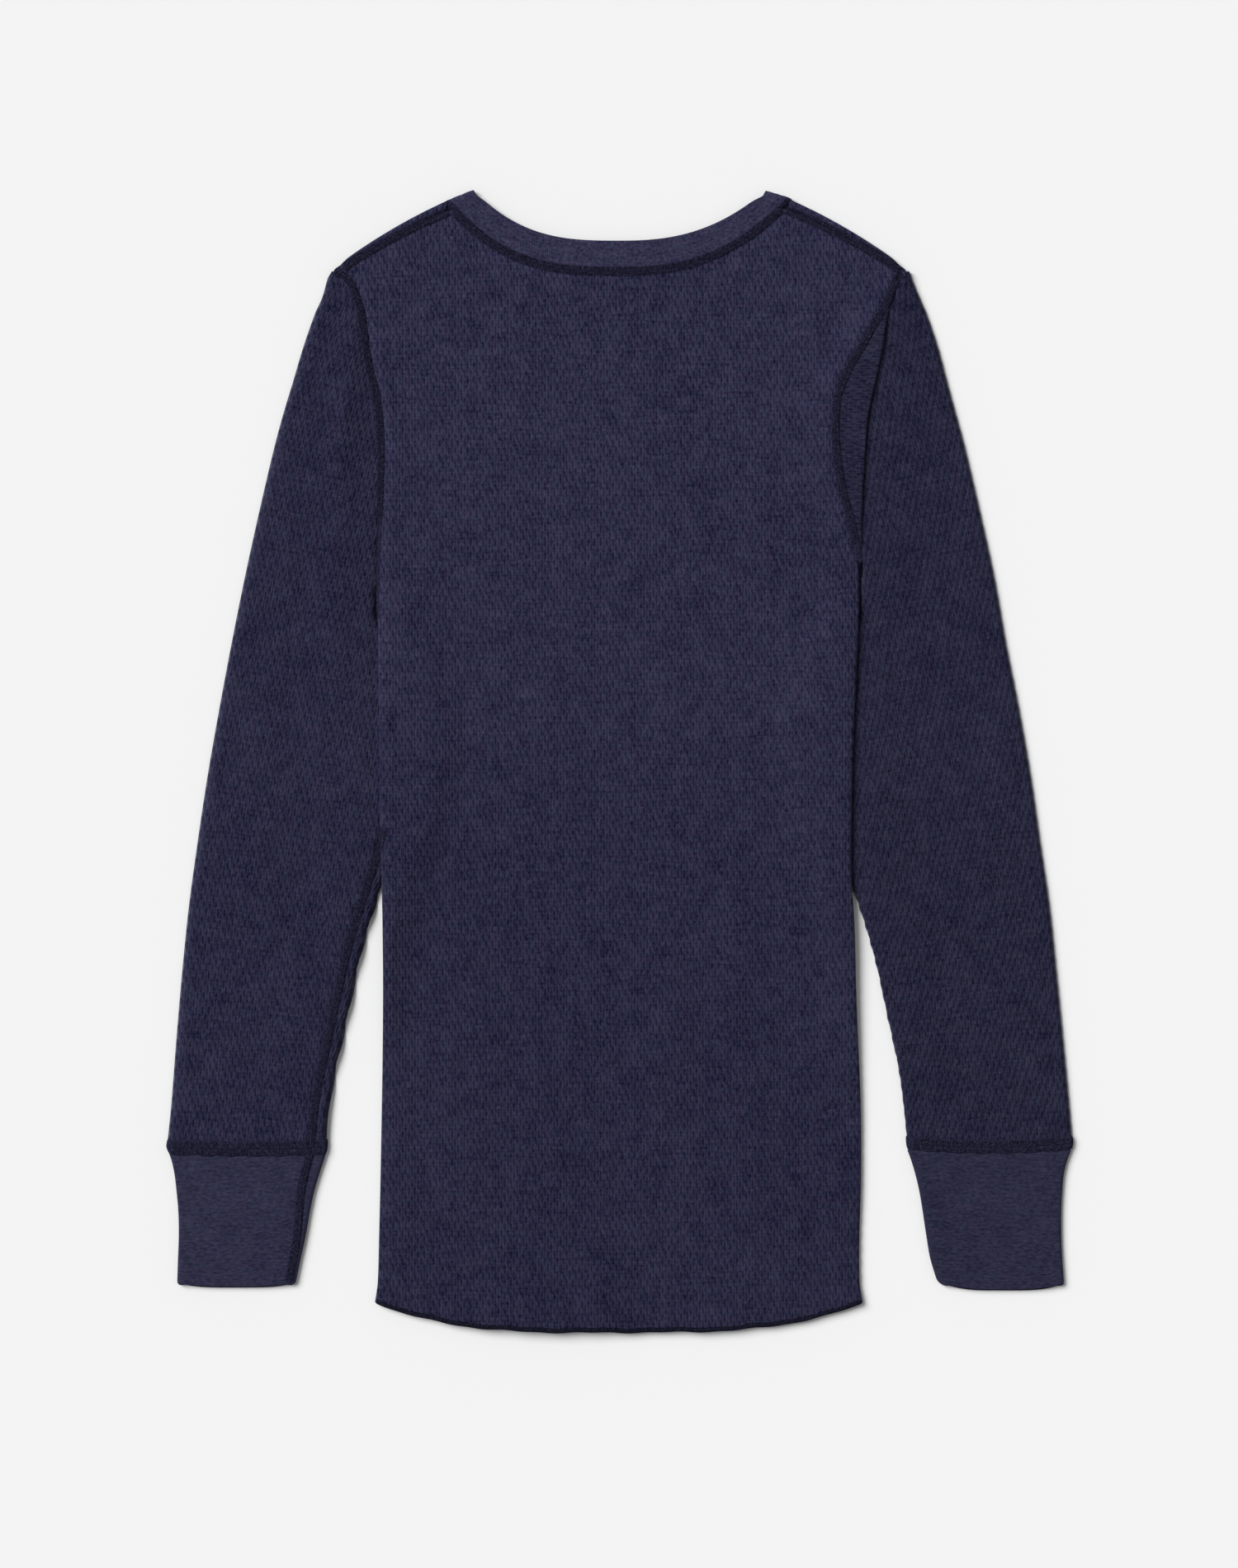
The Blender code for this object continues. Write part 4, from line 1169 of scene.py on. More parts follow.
def neckband_shell():
    """A double strip: its section runs from the seam to the fold at the opening and back underneath."""
    _, round_length = neck_points(400)
    ribs = round(round_length / RIB_PITCH)
    count = ribs * 4
    stations, _ = neck_points(count)
    half = BAND_CLOTH / 2
    across = [(share, half, 1.0) for share in np.linspace(0, 0.95, 11)]
    across += [(0.975, half * 0.85, 0.6), (0.992, half * 0.5, 0.2), (1.0, 0, 0), (0.992, -half * 0.5, 0)]
    across += [(0.95, -half, 0), (0.5, -half, 0), (0.0, -half, 0)]
    seam, opening = stations[:, 0], stations[:, 1]
    for side in (-1, 1):
        from_tip = (side * seam[:, 0] - NECK_SEAM["half"][side]) / BAND_TIP_REACH
        opening = mix(opening, seam, (BAND_TIP_ROUND[side] * np.exp(-from_tip**2))[:, None])
    ahead = np.roll(seam, -1, axis=0) - np.roll(seam, 1, axis=0)
    width = opening - seam
    up = np.cross(ahead, width)
    up /= np.linalg.norm(up, axis=1, keepdims=True)
    along = np.arange(count) / 4
    points, uvs = [], []
    for share, height, ribbed in across:
        phase = along + share * RIB_SLANT * np.linalg.norm(width, axis=1) / RIB_PITCH
        relief = -RIB_DEPTH * ribbed * (0.5 - 0.5 * np.cos(2 * math.pi * phase))
        points.append(seam + width * share + up * (height + relief)[:, None])
        reach = np.linalg.norm(width, axis=1) * share * (1 if height >= 0 else -1)
        uvs.append(np.stack([along * RIB_PITCH, reach], axis=1))
    faces = tube_faces(len(across), count, ring=True)
    return np.array(points).reshape(-1, 3), faces, np.array(uvs).reshape(-1, 2)


def cuff_folds(side, drop):
    """Distances of a cuff's inner and outer folds."""
    return [read(CUFF, k, drop) for k in ((1, 2) if side < 0 else (3, 4))]


def cuff_section(inner, outer, steps):
    """A ring round a cuff's middle surface, as points of distance and height."""
    radius = CUFF_LOFT / 2
    height = CUFF_CLOTH / 2 + radius
    across = np.linspace(inner + radius, outer - radius, steps)
    angles = np.radians(np.linspace(90, -90, 7))[1:-1]
    rounds = np.stack([outer - radius + radius * np.cos(angles), height + radius * np.sin(angles)], axis=1)
    return np.concatenate([
        np.stack([across, np.full(steps, height + radius)], axis=1),
        rounds,
        np.stack([across[::-1], np.full(steps, height - radius)], axis=1),
        np.stack([inner + radius - (rounds[:, 0] - outer + radius), rounds[:, 1]], axis=1)[::-1],
    ])


def cuff_row(side, down, steps):
    """One ring of a cuff's middle surface and its way round."""
    level = mix(CUFF_DROP + SEAM_GAP / 2, CUFF_END_DROP[side], down)
    narrower = []
    for corner in CUFF_CORNERS[side]:
        share = np.clip((level - CUFF_END_DROP[side] + corner) / corner, 0, 1)
        narrower.append(corner * (1 - math.sqrt(1 - share**2)))
    inner, outer = (float(place) for place in cuff_folds(side, level))
    inner = inner + CUFF_CLOTH / 2 + narrower[0]
    outer = outer - CUFF_CLOTH / 2 - narrower[1]
    middle, half = (inner + outer) / 2, (outer - inner) / 2
    section = cuff_section(inner, outer, steps)
    radius = CUFF_LOFT / 2
    height = CUFF_CLOTH / 2 + radius
    rise = CUFF_CORNER_RISE[side] * np.abs((section[:, 0] - middle) / half) ** 4 * smooth(down, 0.6, 1)
    under = smooth(-section[:, 1], -height - radius * 0.6, -height + radius * 0.6)
    lip = 0.0010 * (1 - np.clip(np.abs((section[:, 0] - middle) / half), 0, 1) ** 8)
    level = level - rise - lip * (1 - under) * smooth(down, 0.85, 1)
    points = as_points(side * section[:, 0], level, section[:, 1])
    return points, np.stack([ways_along(section), np.full(len(section), float(down) * CUFF_LENGTH)], axis=1)


def cuff_shell(side):
    downs = np.concatenate([np.linspace(0, 0.94, 38), [0.955, 0.968, 0.979, 0.988, 0.994, 0.998, 1.0]])
    rows = [cuff_row(side, down, 44) for down in downs]
    points = np.array([row[0] for row in rows])
    uvs = np.array([row[1] for row in rows])
    return grid_shell(points, CUFF_CLOTH, uvs, ring=True, out=-side)


# ------------------------------------------------------------------ finishes
def node(tree, kind, settings=None, inputs=None):
    """Adds a node and gives its outputs. An input is a value or another node's output."""
    made = tree.nodes.new(kind)
    for name, value in (settings or {}).items():
        setattr(made, name, value)
    for key, value in (inputs or {}).items():
        if isinstance(value, bpy.types.NodeSocket):
            tree.links.new(value, made.inputs[key])
        else:
            made.inputs[key].default_value = value
    return made.outputs


def put(tree, kind, settings=None, inputs=None):
    return node(tree, "ShaderNode" + kind, settings, inputs)


def calc(tree, operation, *values):
    return put(tree, "Math", {"operation": operation}, dict(enumerate(values)))[0]


def ramp(tree, value, low, high, to_low=0.0, to_high=1.0):
    """A value spread softly from one range to another."""
    return put(tree, "MapRange", {"interpolation_type": "SMOOTHSTEP"},
               {0: value, 1: low, 2: high, 3: to_low, 4: to_high})[0]


def grain(tree, where, wide, tall, detail=1.0, offset=0.0):
    """Noise whose grains are that wide and tall in metres, from 0 to 1."""
    spread = put(tree, "VectorMath", {"operation": "MULTIPLY_ADD"},
                 {0: where, 1: (1 / wide, 1 / tall, 1), 2: (offset, offset, offset)})[0]
    return put(tree, "TexNoise", {"noise_dimensions": "2D"},
               {"Vector": spread, "Scale": 1.0, "Detail": detail, "Roughness": 0.5})[0]


def blended(tree, mode, factor, a, b):
    return put(tree, "Mix", {"data_type": "RGBA", "blend_type": mode}, {"Factor": factor, 6: a, 7: b})[2]


def tinted(tree, mode, colour, value):
    """A colour with a grey value blended over it."""
    grey = put(tree, "CombineColor", None, {0: value, 1: value, 2: value})[0]
    return blended(tree, mode, 1.0, colour, grey)


def new_group(name, inputs, outputs, tree_kind="ShaderNodeTree"):
    """An empty group: its tree, its inputs as sockets to read and its outputs as sockets to fill."""
    tree = bpy.data.node_groups.new(name, tree_kind)
    for socket, kind, value in inputs:
        made = tree.interface.new_socket(socket, in_out="INPUT", socket_type="NodeSocket" + kind)
        if value is not None:
            made.default_value = value
    for socket, kind in outputs:
        tree.interface.new_socket(socket, in_out="OUTPUT", socket_type="NodeSocket" + kind)
    return tree, tree.nodes.new("NodeGroupInput").outputs, tree.nodes.new("NodeGroupOutput").inputs


def heather_group():
    """Navy yarn spun from bluish, purplish and a few pale fibres."""
    tree, given, wanted = new_group(
        "heathered navy",
        [("Cloth", "Vector", None), ("Lightness", "Float", 1.0), ("Contrast", "Float", 1.0),
         ("Stitches", "Float", 0.0), ("Grain width", "Float", 0.0007), ("Grain height", "Float", 0.0018)],
        [("Colour", "Color"), ("Fibres", "Float")])
    size = put(tree, "CombineXYZ", None, {0: given["Grain width"], 1: given["Grain height"], 2: 1.0})[0]
    spread = put(tree, "VectorMath", {"operation": "DIVIDE"}, {0: given["Cloth"], 1: size})[0]

    def fibres(scale, detail, offset):
        moved = put(tree, "VectorMath", {"operation": "ADD"}, {0: spread, 1: (offset, 2.3 * offset, 0)})[0]
        return put(tree, "TexNoise", {"noise_dimensions": "2D"},
                   {"Vector": moved, "Scale": scale, "Detail": detail, "Roughness": 0.6})[0]

    hue = calc(tree, "MULTIPLY_ADD", fibres(0.8, 1.0, 31.0), 0.6,
               calc(tree, "MULTIPLY", grain(tree, given["Cloth"], 0.0055, 0.0050, 1.0, offset=3.0), 0.5))
    hue = ramp(tree, hue, 0.46, 0.64)
    colour = blended(tree, "MIX", hue, BLUISH, PURPLISH)
    tone = fibres(1.0, 2.0, 0.0)
    patches = grain(tree, given["Cloth"], 0.014, 0.018, 2.0)
    broad = grain(tree, given["Cloth"], 0.090, 0.120, 1.0, offset=7.0)
    courses = grain(tree, given["Cloth"], 0.016, 0.0015, 2.0, offset=19.0)
    varied = calc(tree, "MULTIPLY", calc(tree, "SUBTRACT", tone, 0.5), 2.5)
    for part, share in ((patches, 0.55), (broad, 0.30), (courses, 1.05)):
        varied = calc(tree, "MULTIPLY_ADD", calc(tree, "SUBTRACT", part, 0.5), share, varied)
    pale = ramp(tree, fibres(0.9, 0.0, 57.0), 0.70, 0.90, 0.0, 0.45)
    varied = calc(tree, "ADD", calc(tree, "MULTIPLY", varied, given["Contrast"]), pale)
    varied = calc(tree, "MAXIMUM", calc(tree, "ADD", varied, given["Stitches"]), -0.9)
    # Part of the variation scales the colour and part adds neutral grey: the paler fibres, and on the waffle its
    # painted highlight on the ridges and painted shade in the hollows.
    colour = tinted(tree, "MULTIPLY", colour, calc(tree, "MULTIPLY_ADD", varied, 0.4, 1.0))
    colour = tinted(tree, "ADD", colour, calc(tree, "MULTIPLY", varied, 0.6 * FIBRE_AND_SHEEN_GREY))
    tree.links.new(tinted(tree, "MULTIPLY", colour, given["Lightness"]), wanted["Colour"])
    tree.links.new(tone, wanted["Fibres"])
    return tree


def waffle_group():
    """The waffle's relief: upright ribs with grooves between them, and in the grooves the hollows. They lean a little
    and lie half a step lower in every other groove. Its Stitches output is each stitch's own tone at random, with
    painted shade in the hollows and a painted highlight on the ridges."""
    tree, given, wanted = new_group(
        "waffle relief", [("Cloth", "Vector", None)], [("Stitches", "Float"), ("Height", "Float")])
    sway = put(tree, "TexNoise", {"noise_dimensions": "2D"},
               {"Vector": put(tree, "VectorMath", {"operation": "MULTIPLY"},
                              {0: given["Cloth"], 1: (420, 240, 420)})[0], "Scale": 1.0, "Detail": 1.0})[1]
    sway = put(tree, "VectorMath", {"operation": "SUBTRACT"}, {0: sway, 1: (0.5, 0.5, 0.5)})[0]
    moved = put(tree, "VectorMath", {"operation": "MULTIPLY_ADD"},
                {0: sway, 1: (0.0004, 0.0026, 0), 2: given["Cloth"]})[0]
    u, v = put(tree, "SeparateXYZ", None, {0: moved})[:2]
    across = calc(tree, "MULTIPLY", u, math.pi / CELL_WIDE)
    down = calc(tree, "MULTIPLY", v, math.pi / CELL_TALL)
    rising = calc(tree, "COSINE", calc(tree, "ADD", across, down))
    falling = calc(tree, "COSINE", calc(tree, "SUBTRACT", across, down))
    groove = calc(tree, "COSINE", calc(tree, "MULTIPLY", across, 2.0))
    deep = calc(tree, "MULTIPLY_ADD", rising, 0.26, calc(tree, "MULTIPLY", falling, 0.58))
    deep = calc(tree, "MULTIPLY_ADD", groove, 0.42, deep)
    hollow = ramp(tree, deep, -0.70, 1.05)
    tree.links.new(calc(tree, "MULTIPLY", hollow, -WAFFLE_DEPTH), wanted["Height"])
    rib = calc(tree, "FLOOR", calc(tree, "DIVIDE", u, CELL_WIDE))
    step = calc(tree, "MULTIPLY", calc(tree, "PINGPONG", rib, 1.0), 0.5)
    row = calc(tree, "FLOOR", calc(tree, "ADD", calc(tree, "DIVIDE", v, CELL_TALL), step))
    own = put(tree, "TexWhiteNoise", {"noise_dimensions": "2D"},
              {"Vector": put(tree, "CombineXYZ", None, {0: rib, 1: row, 2: 0.0})[0]})[0]
    own = calc(tree, "SUBTRACT", own, 0.5)
    # painted shade in the hollows and a painted highlight on the ridges, added to each stitch's own tone
    shade = calc(tree, "MULTIPLY_ADD", hollow, -0.50, 0.25)
    tree.links.new(calc(tree, "MULTIPLY_ADD", own, 0.54, shade), wanted["Stitches"])
    return tree


HEATHER = heather_group()
WAFFLE = waffle_group()


def use(tree, group, inputs):
    return put(tree, "Group", {"node_tree": group}, inputs)


def cloth_finish(name, roughness, sheen, specular=0.12):
    """A material with its tree, its shader's inputs and the cloth's coordinates."""
    made = bpy.data.materials.new(name)
    made.use_nodes = True
    tree = made.node_tree
    shader = tree.nodes["Principled BSDF"].inputs
    shader["Roughness"].default_value = roughness
    shader["Specular IOR Level"].default_value = specular
    shader["Sheen Weight"].default_value = sheen
    shader["Sheen Roughness"].default_value = 0.4
    shader["Sheen Tint"].default_value = SHEEN_TINT
    return made, tree, shader, put(tree, "UVMap", {"uv_map": "Cloth"})[0]


def raised(tree, shader, height):
    """Shades the cloth as if raised by a height in metres."""
    bump = put(tree, "Bump", None, {"Strength": 1.0, "Distance": 1.0, "Height": height})[0]
    tree.links.new(bump, shader["Normal"])


def waffle_finish(name, lightness, top=1.0, bottom=1.0):
    """Waffle knit. top and bottom are its lightness at either end of the garment: painted light and shade, lighter or
    darker towards either end as the light falls on it.
    """
    made, tree, shader, where = cloth_finish(name, 0.92, 0.20)
    drop = put(tree, "SeparateXYZ", None, {0: where})[1]
    # painted light and shade along the garment, from top at the shoulders to bottom at the hem
    lightness = calc(tree, "MULTIPLY", ramp(tree, drop, 0.03, 0.60, top, bottom), lightness)
    relief = use(tree, WAFFLE, {"Cloth": where})
    yarn = use(tree, HEATHER, {"Cloth": where, "Lightness": lightness, "Stitches": relief["Stitches"]})
    tree.links.new(yarn["Colour"], shader["Base Color"])
    fuzz = calc(tree, "MULTIPLY", grain(tree, where, 0.0005, 0.0007), LOOP_DEPTH)
    raised(tree, shader, calc(tree, "ADD", relief["Height"], fuzz))
    return made


def jersey_finish(name, lightness):
    """Smooth fine jersey, whose heather runs in short streaks across the cuff."""
    made, tree, shader, where = cloth_finish(name, 0.85, 0.16)
    yarn = use(tree, HEATHER, {"Cloth": where, "Lightness": lightness, "Contrast": 1.00,
                               "Stitches": 0.35, "Grain width": 0.0030, "Grain height": 0.0013})
    tree.links.new(yarn["Colour"], shader["Base Color"])
    raised(tree, shader, calc(tree, "MULTIPLY", grain(tree, where, 0.0012, 0.0006), LOOP_DEPTH))
    return made


def rib_finish(name, lightness):
    """Fine rib, whose ribs lean along the band, with painted shade in its grooves."""
    made, tree, shader, where = cloth_finish(name, 0.88, 0.14)
    yarn = use(tree, HEATHER, {"Cloth": where, "Lightness": lightness, "Contrast": 1.2,
                               "Stitches": 0.35, "Grain width": 0.0022, "Grain height": 0.0016})
    along, across = put(tree, "SeparateXYZ", None, {0: where})[:2]
    place = calc(tree, "ADD", along, calc(tree, "MULTIPLY", calc(tree, "ABSOLUTE", across), RIB_SLANT))
    sway = calc(tree, "MULTIPLY", grain(tree, where, 0.004, 0.004), 0.0009)
    turn = calc(tree, "MULTIPLY", calc(tree, "ADD", place, sway), 2 * math.pi / RIB_PITCH)
    groove = calc(tree, "MULTIPLY_ADD", calc(tree, "COSINE", turn), 0.5, 0.5)
    # painted shade: the colour is darkened in the rib grooves
    shade = calc(tree, "SUBTRACT", 1.0, calc(tree, "MULTIPLY", groove, 0.34))
    tree.links.new(tinted(tree, "MULTIPLY", yarn["Colour"], shade), shader["Base Color"])
    height = calc(tree, "MULTIPLY", groove, -0.00016)
    raised(tree, shader, calc(tree, "ADD", height, calc(tree, "MULTIPLY", yarn["Fibres"], LOOP_DEPTH)))
    return made


def thread_finish(name, dark, pale, share, gloss=0.02):
    """Sewing thread. share is where the paler colour starts in the noise, from 0 to 1."""
    made, tree, shader, _ = cloth_finish(name, 0.95, 0.0, gloss)
    place = put(tree, "TexCoord")["Object"]
    spots = grain(tree, place, 0.0016, 0.0016)
    colour = blended(tree, "MIX", ramp(tree, spots, share, share + 0.12), (*dark, 1), (*pale, 1))
    tree.links.new(colour, shader["Base Color"])
    raised(tree, shader, calc(tree, "MULTIPLY", grain(tree, place, 0.0005, 0.0005, 0.0), 0.00012))
    return made


# Painted light and shade: the body is painted lighter at the shoulders and darker at the hem, and the right sleeve
# lighter at its top. The sleeves are painted darker than the body, and the right sleeve and cuff darker than the left
# ones: one knit in lit and shaded copies.
body_knit = waffle_finish("body_waffle", 0.86, 1.15, 0.90)
sleeve_knits = {-1: waffle_finish("sleeve_left_waffle", 0.79),
                1: waffle_finish("sleeve_right_waffle", 0.67, 1.08, 1.01)}
jerseys = {-1: jersey_finish("cuff_left_jersey", 0.775), 1: jersey_finish("cuff_right_jersey", 0.68)}
rib = rib_finish("neck_rib_navy", 1.21)
seam_base = thread_finish("seam_base", (0.0110, 0.0115, 0.0270), (0.0205, 0.0200, 0.0430), 0.40)
cross_thread = thread_finish("cross_thread", (0.0130, 0.0130, 0.0290), (0.0230, 0.0220, 0.0450), 0.42)
dark_thread = thread_finish("dark_thread", (0.0095, 0.0100, 0.0215), (0.0170, 0.0170, 0.0350), 0.46)
pale_thread = thread_finish("pale_thread", (0.024, 0.023, 0.044), (0.110, 0.105, 0.140), 0.60, 0.10)
hem_thread = thread_finish("hem_thread", (0.0070, 0.0075, 0.0150), (0.0130, 0.0130, 0.0260), 0.50)

back_rows = side_rows(body_edge, back_roll, SHOULDER_DROP + 0.01, SIDE_ROWS_END)
front_rows = side_rows(front_edge, front_roll, UNDERARM_DROP, SIDE_ROWS_END - FRONT_HEM_SHORTER) + turn_rows()
back = mesh_object("back_cloth", *knit_shell(back_outline(), back_surface, -1, rows=back_rows), body_knit)
front = mesh_object(
    "front_cloth", *knit_shell(front_outline(), front_surface, 1, front_stretched, front_rows), body_knit)
sleeves = {side: make_sleeve(side, name, sleeve_knits[side])
           for side, name in ((-1, "sleeve_left_cloth"), (1, "sleeve_right_cloth"))}
band = mesh_object("neckband_cloth", *neckband_shell(), rib)
cuffs = {side: mesh_object(name, *cuff_shell(side), jerseys[side])
         for side, name in ((-1, "cuff_left_cloth"), (1, "cuff_right_cloth"))}


# ------------------------------------------------------------------ seams
def tree_of(piece):
    corners, faces = piece.data.vertices, piece.data.polygons
    return BVHTree.FromPolygons([corner.co for corner in corners], [tuple(face.vertices) for face in faces])


def below(tree, x, y):
    """Height at which a piece's tree is met from above, or None."""
    hit = tree.ray_cast(Vector((x, y, LOOK_FROM)), Vector((0, 0, -1)))[0]
    return hit.z if hit else None


CLOTHS = [tree_of(piece) for piece in (back, front, *sleeves.values(), band, *cuffs.values())]


def top_of(x, drop):
    """Height of the uppermost cloth. It is nan beside the garment."""
    heights = [below(tree, x, LENGTH / 2 - drop) for tree in CLOTHS]
    return max((height for height in heights if height is not None), default=math.nan)


def averaged(values, reach):
    """Values smoothed along their first axis."""
    padded = np.concatenate([values[:1]] * reach + [values] + [values[-1:]] * reach)
    return sum(padded[k:k + len(values)] for k in range(2 * reach + 1)) / (2 * reach + 1)


ACROSS_STRIP = np.array([-1, -0.86, -0.5, 0, 0.5, 0.86, 1])


def strip_mesh(name, middle, rise, sunk, finish):
    """A closed strip over a grid of points, thickest in its middle."""
    tops, unders = [], []
    for k, share in enumerate(ACROSS_STRIP):
        tops.append(middle[:, k] + [0, 0, rise * (1 - share**4) + 0.0001])
        unders.append(middle[:, k] - [0, 0, sunk])
    rings = np.stack(tops + unders[::-1], axis=1)
    rings[:, :, 2] = np.maximum(rings[:, :, 2], FLOOR_CLEARANCE)
    count, around = rings.shape[:2]
    along = np.arange(count)[:, None] * 0.001 + np.zeros(around)
    wide = np.concatenate([ACROSS_STRIP, ACROSS_STRIP[::-1]])[None] * 0.002 + np.zeros((count, 1))
    uvs = np.stack([along, wide], axis=2).reshape(-1, 2)
    return mesh_object(name, rings.reshape(-1, 3), tube_faces(count, around), uvs, finish)


def draped(line, half):
    """Points of a strip laid on the cloth along a line of distances and drops: 7 across it. Past the cloth's
    outline it hangs down, and its ends are round. half is one width, or one for each point of the line."""
    line = resampled(np.column_stack([line, np.broadcast_to(half, len(line))]), STRIP_STEP)
    line, half = line[:, :2], line[:, 2]
    ahead = np.gradient(line, axis=0)
    ahead /= np.linalg.norm(ahead, axis=1, keepdims=True)
    sideways = np.stack([ahead[:, 1], -ahead[:, 0]], axis=1)
    steps = np.arange(len(line)) * np.linalg.norm(line[1] - line[0])
    from_end = np.minimum(steps, steps[::-1])
    rounded = np.clip(1 - (1 - from_end / half) ** 2, 0.04, 1) * (from_end < half) + (from_end >= half)
    half = half * np.sqrt(rounded)
    shares = np.linspace(-1.3, 1.3, 27)
    spots = line[:, None] + sideways[:, None] * (shares[None] * half[:, None])[:, :, None]
    heights = np.array([[top_of(*spot) for spot in row] for row in spots])
    for k, row in enumerate(heights):
        bare = np.isnan(row)
        if bare.any() and not bare.all():
            away = np.min(np.abs(shares[bare][:, None] - shares[~bare][None]), axis=1) * half[k]
            row[bare] = np.interp(shares[bare], shares[~bare], row[~bare]) - STRIP_HANG * away
    known = np.flatnonzero(~np.isnan(heights).any(axis=1))
    for k in np.flatnonzero(np.isnan(heights).any(axis=1)):
        nearest = known[np.argmin(np.abs(known - k))]
        heights[k] = heights[nearest] - STRIP_END_FALL * abs(nearest - k)
    reach = max(1, round(STRIP_BRIDGE / (float(np.mean(half)) * 0.1)))
    raised_up = np.max([np.roll(heights, k, axis=1) for k in range(-reach, reach + 1)], axis=0)
    smoothed = averaged(averaged(raised_up.T, 2).T, 3)
    wanted = [np.interp(ACROSS_STRIP, shares, row) for row in smoothed]
    places = line[:, None] + sideways[:, None] * (ACROSS_STRIP[None] * half[:, None])[:, :, None]
    return np.dstack([places[:, :, 0], LENGTH / 2 - places[:, :, 1], np.array(wanted)])


def thread(paths, radius):
    """Points and faces of short closed threads along paths."""
    points, faces = [], []
    for path in paths:
        path = np.array(path, dtype=float)
        ahead = np.gradient(path, axis=0)
        ahead /= np.linalg.norm(ahead, axis=1, keepdims=True)
        side = np.cross(ahead, [0.05, 0.1, 1.0])
        side /= np.linalg.norm(side, axis=1, keepdims=True)
        up = np.cross(side, ahead)
        faces += [[len(points) + corner for corner in face] for face in tube_faces(len(path), THREAD_SIDES)]
        for k, place in enumerate(path):
            thin = 0.55 if k in (0, len(path) - 1) else 1.0
            for turn in np.arange(THREAD_SIDES) * 2 * math.pi / THREAD_SIDES:
                points.append(place + thin * radius * (math.cos(turn) * side[k] + math.sin(turn) * up[k]))
    return np.array(points), faces


def stitch_nodes():
    """Geometry Nodes that lay a stitch again and again along a curve."""
    tree, given, wanted = new_group(
        "stitches along a line",
        [("Line", "Geometry", None), ("Pitch", "Float", None), ("Stitch", "Object", None),
         ("Unevenness", "Float", None), ("Seed", "Int", None), ("Thread", "Material", None)],
        [("Stitches", "Geometry")], "GeometryNodeTree")
    places = node(tree, "GeometryNodeResampleCurve", {"mode": "LENGTH"},
                  {"Curve": given["Line"], "Length": given["Pitch"]})[0]
    ahead = node(tree, "GeometryNodeInputTangent")[0]
    along = node(tree, "FunctionNodeAlignRotationToVector", {"axis": "X"}, {"Vector": ahead})[0]
    normal = node(tree, "GeometryNodeInputNormal")[0]
    left = put(tree, "VectorMath", {"operation": "SCALE"}, {0: normal, "Scale": -1})[0]
    facing = node(tree, "FunctionNodeAlignRotationToVector", {"axis": "Y", "pivot_axis": "X"},
                  {"Rotation": along, "Vector": left})[0]
    wobble = node(tree, "FunctionNodeRandomValue", {"data_type": "FLOAT_VECTOR"},
                  {0: (-1, -1, -1), 1: (1, 1, 1), "Seed": given["Seed"]})[0]
    wobble = put(tree, "VectorMath", {"operation": "SCALE"}, {0: wobble, "Scale": given["Unevenness"]})[0]
    turned = node(tree, "FunctionNodeEulerToRotation", None, {"Euler": wobble})[0]
    rotation = node(tree, "FunctionNodeRotateRotation", {"rotation_space": "LOCAL"},
                    {"Rotation": facing, "Rotate By": turned})[0]
    size = put(tree, "VectorMath", {"operation": "ADD"}, {0: wobble, 1: (1, 1, 1)})[0]
    stitch = node(tree, "GeometryNodeObjectInfo", {"transform_space": "ORIGINAL"},
                  {"Object": given["Stitch"]})
    laid = node(tree, "GeometryNodeInstanceOnPoints", None,
                {"Points": places, "Instance": stitch["Geometry"], "Rotation": rotation, "Scale": size})[0]
    real = node(tree, "GeometryNodeRealizeInstances", None, {"Geometry": laid})[0]
    painted = node(tree, "GeometryNodeSetMaterial", None, {"Geometry": real, "Material": given["Thread"]})[0]
    tree.links.new(painted, wanted["Stitches"])
    return tree


STITCH_NODES = stitch_nodes()


def sewn(name, line, stitch, pitch, finish, unevenness, seed, on=None):
    """A row of stitches along a line of points, as one mesh. Where it is sewn on a strip, the line is level
    and its threads are laid on the strip."""
    if on is not None:
        line = line * [1, 1, 0]
    curve = bpy.data.curves.new(name + "_line", "CURVE")
    curve.dimensions = "3D"
    spline = curve.splines.new("POLY")
    spline.points.add(len(line) - 1)
    spline.points.foreach_set("co", np.column_stack([line, np.ones(len(line))]).ravel())
    holder = bpy.data.objects.new(name + "_line", curve)
    bpy.context.scene.collection.objects.link(holder)
    pattern_mesh = bpy.data.meshes.new(name + "_stitch")
    pattern_mesh.from_pydata(stitch[0].tolist(), [], stitch[1])
    pattern_mesh.shade_smooth()
    pattern = bpy.data.objects.new(name + "_stitch", pattern_mesh)
    bpy.context.scene.collection.objects.link(pattern)
    nodes = holder.modifiers.new("stitches", "NODES")
    nodes.node_group = STITCH_NODES
    sockets = {s.name: s.identifier for s in STITCH_NODES.interface.items_tree if s.in_out == "INPUT"}
    for socket, value in (("Pitch", pitch), ("Stitch", pattern), ("Unevenness", unevenness), ("Seed", seed),
                          ("Thread", finish)):
        nodes[sockets[socket]] = value
    evaluated = holder.evaluated_get(bpy.context.evaluated_depsgraph_get())
    mesh = bpy.data.meshes.new_from_object(evaluated)
    mesh.name = name
    if on is not None:
        strip = tree_of(on)
        height = FLOOR + BODY_LOFT
        for vertex in mesh.vertices:
            found = below(strip, vertex.co.x, vertex.co.y)
            if found is None:
                found = top_of(vertex.co.x, LENGTH / 2 - vertex.co.y)
            height = height if math.isnan(found) else found
            vertex.co.z = max(vertex.co.z + height, FLOOR_CLEARANCE)
    if not mesh.uv_layers:
        mesh.uv_layers.new(name="Cloth")
    made = bpy.data.objects.new(name, mesh)
    bpy.context.scene.collection.objects.link(made)
    for spare in (holder, pattern):
        bpy.data.objects.remove(spare)
    return made


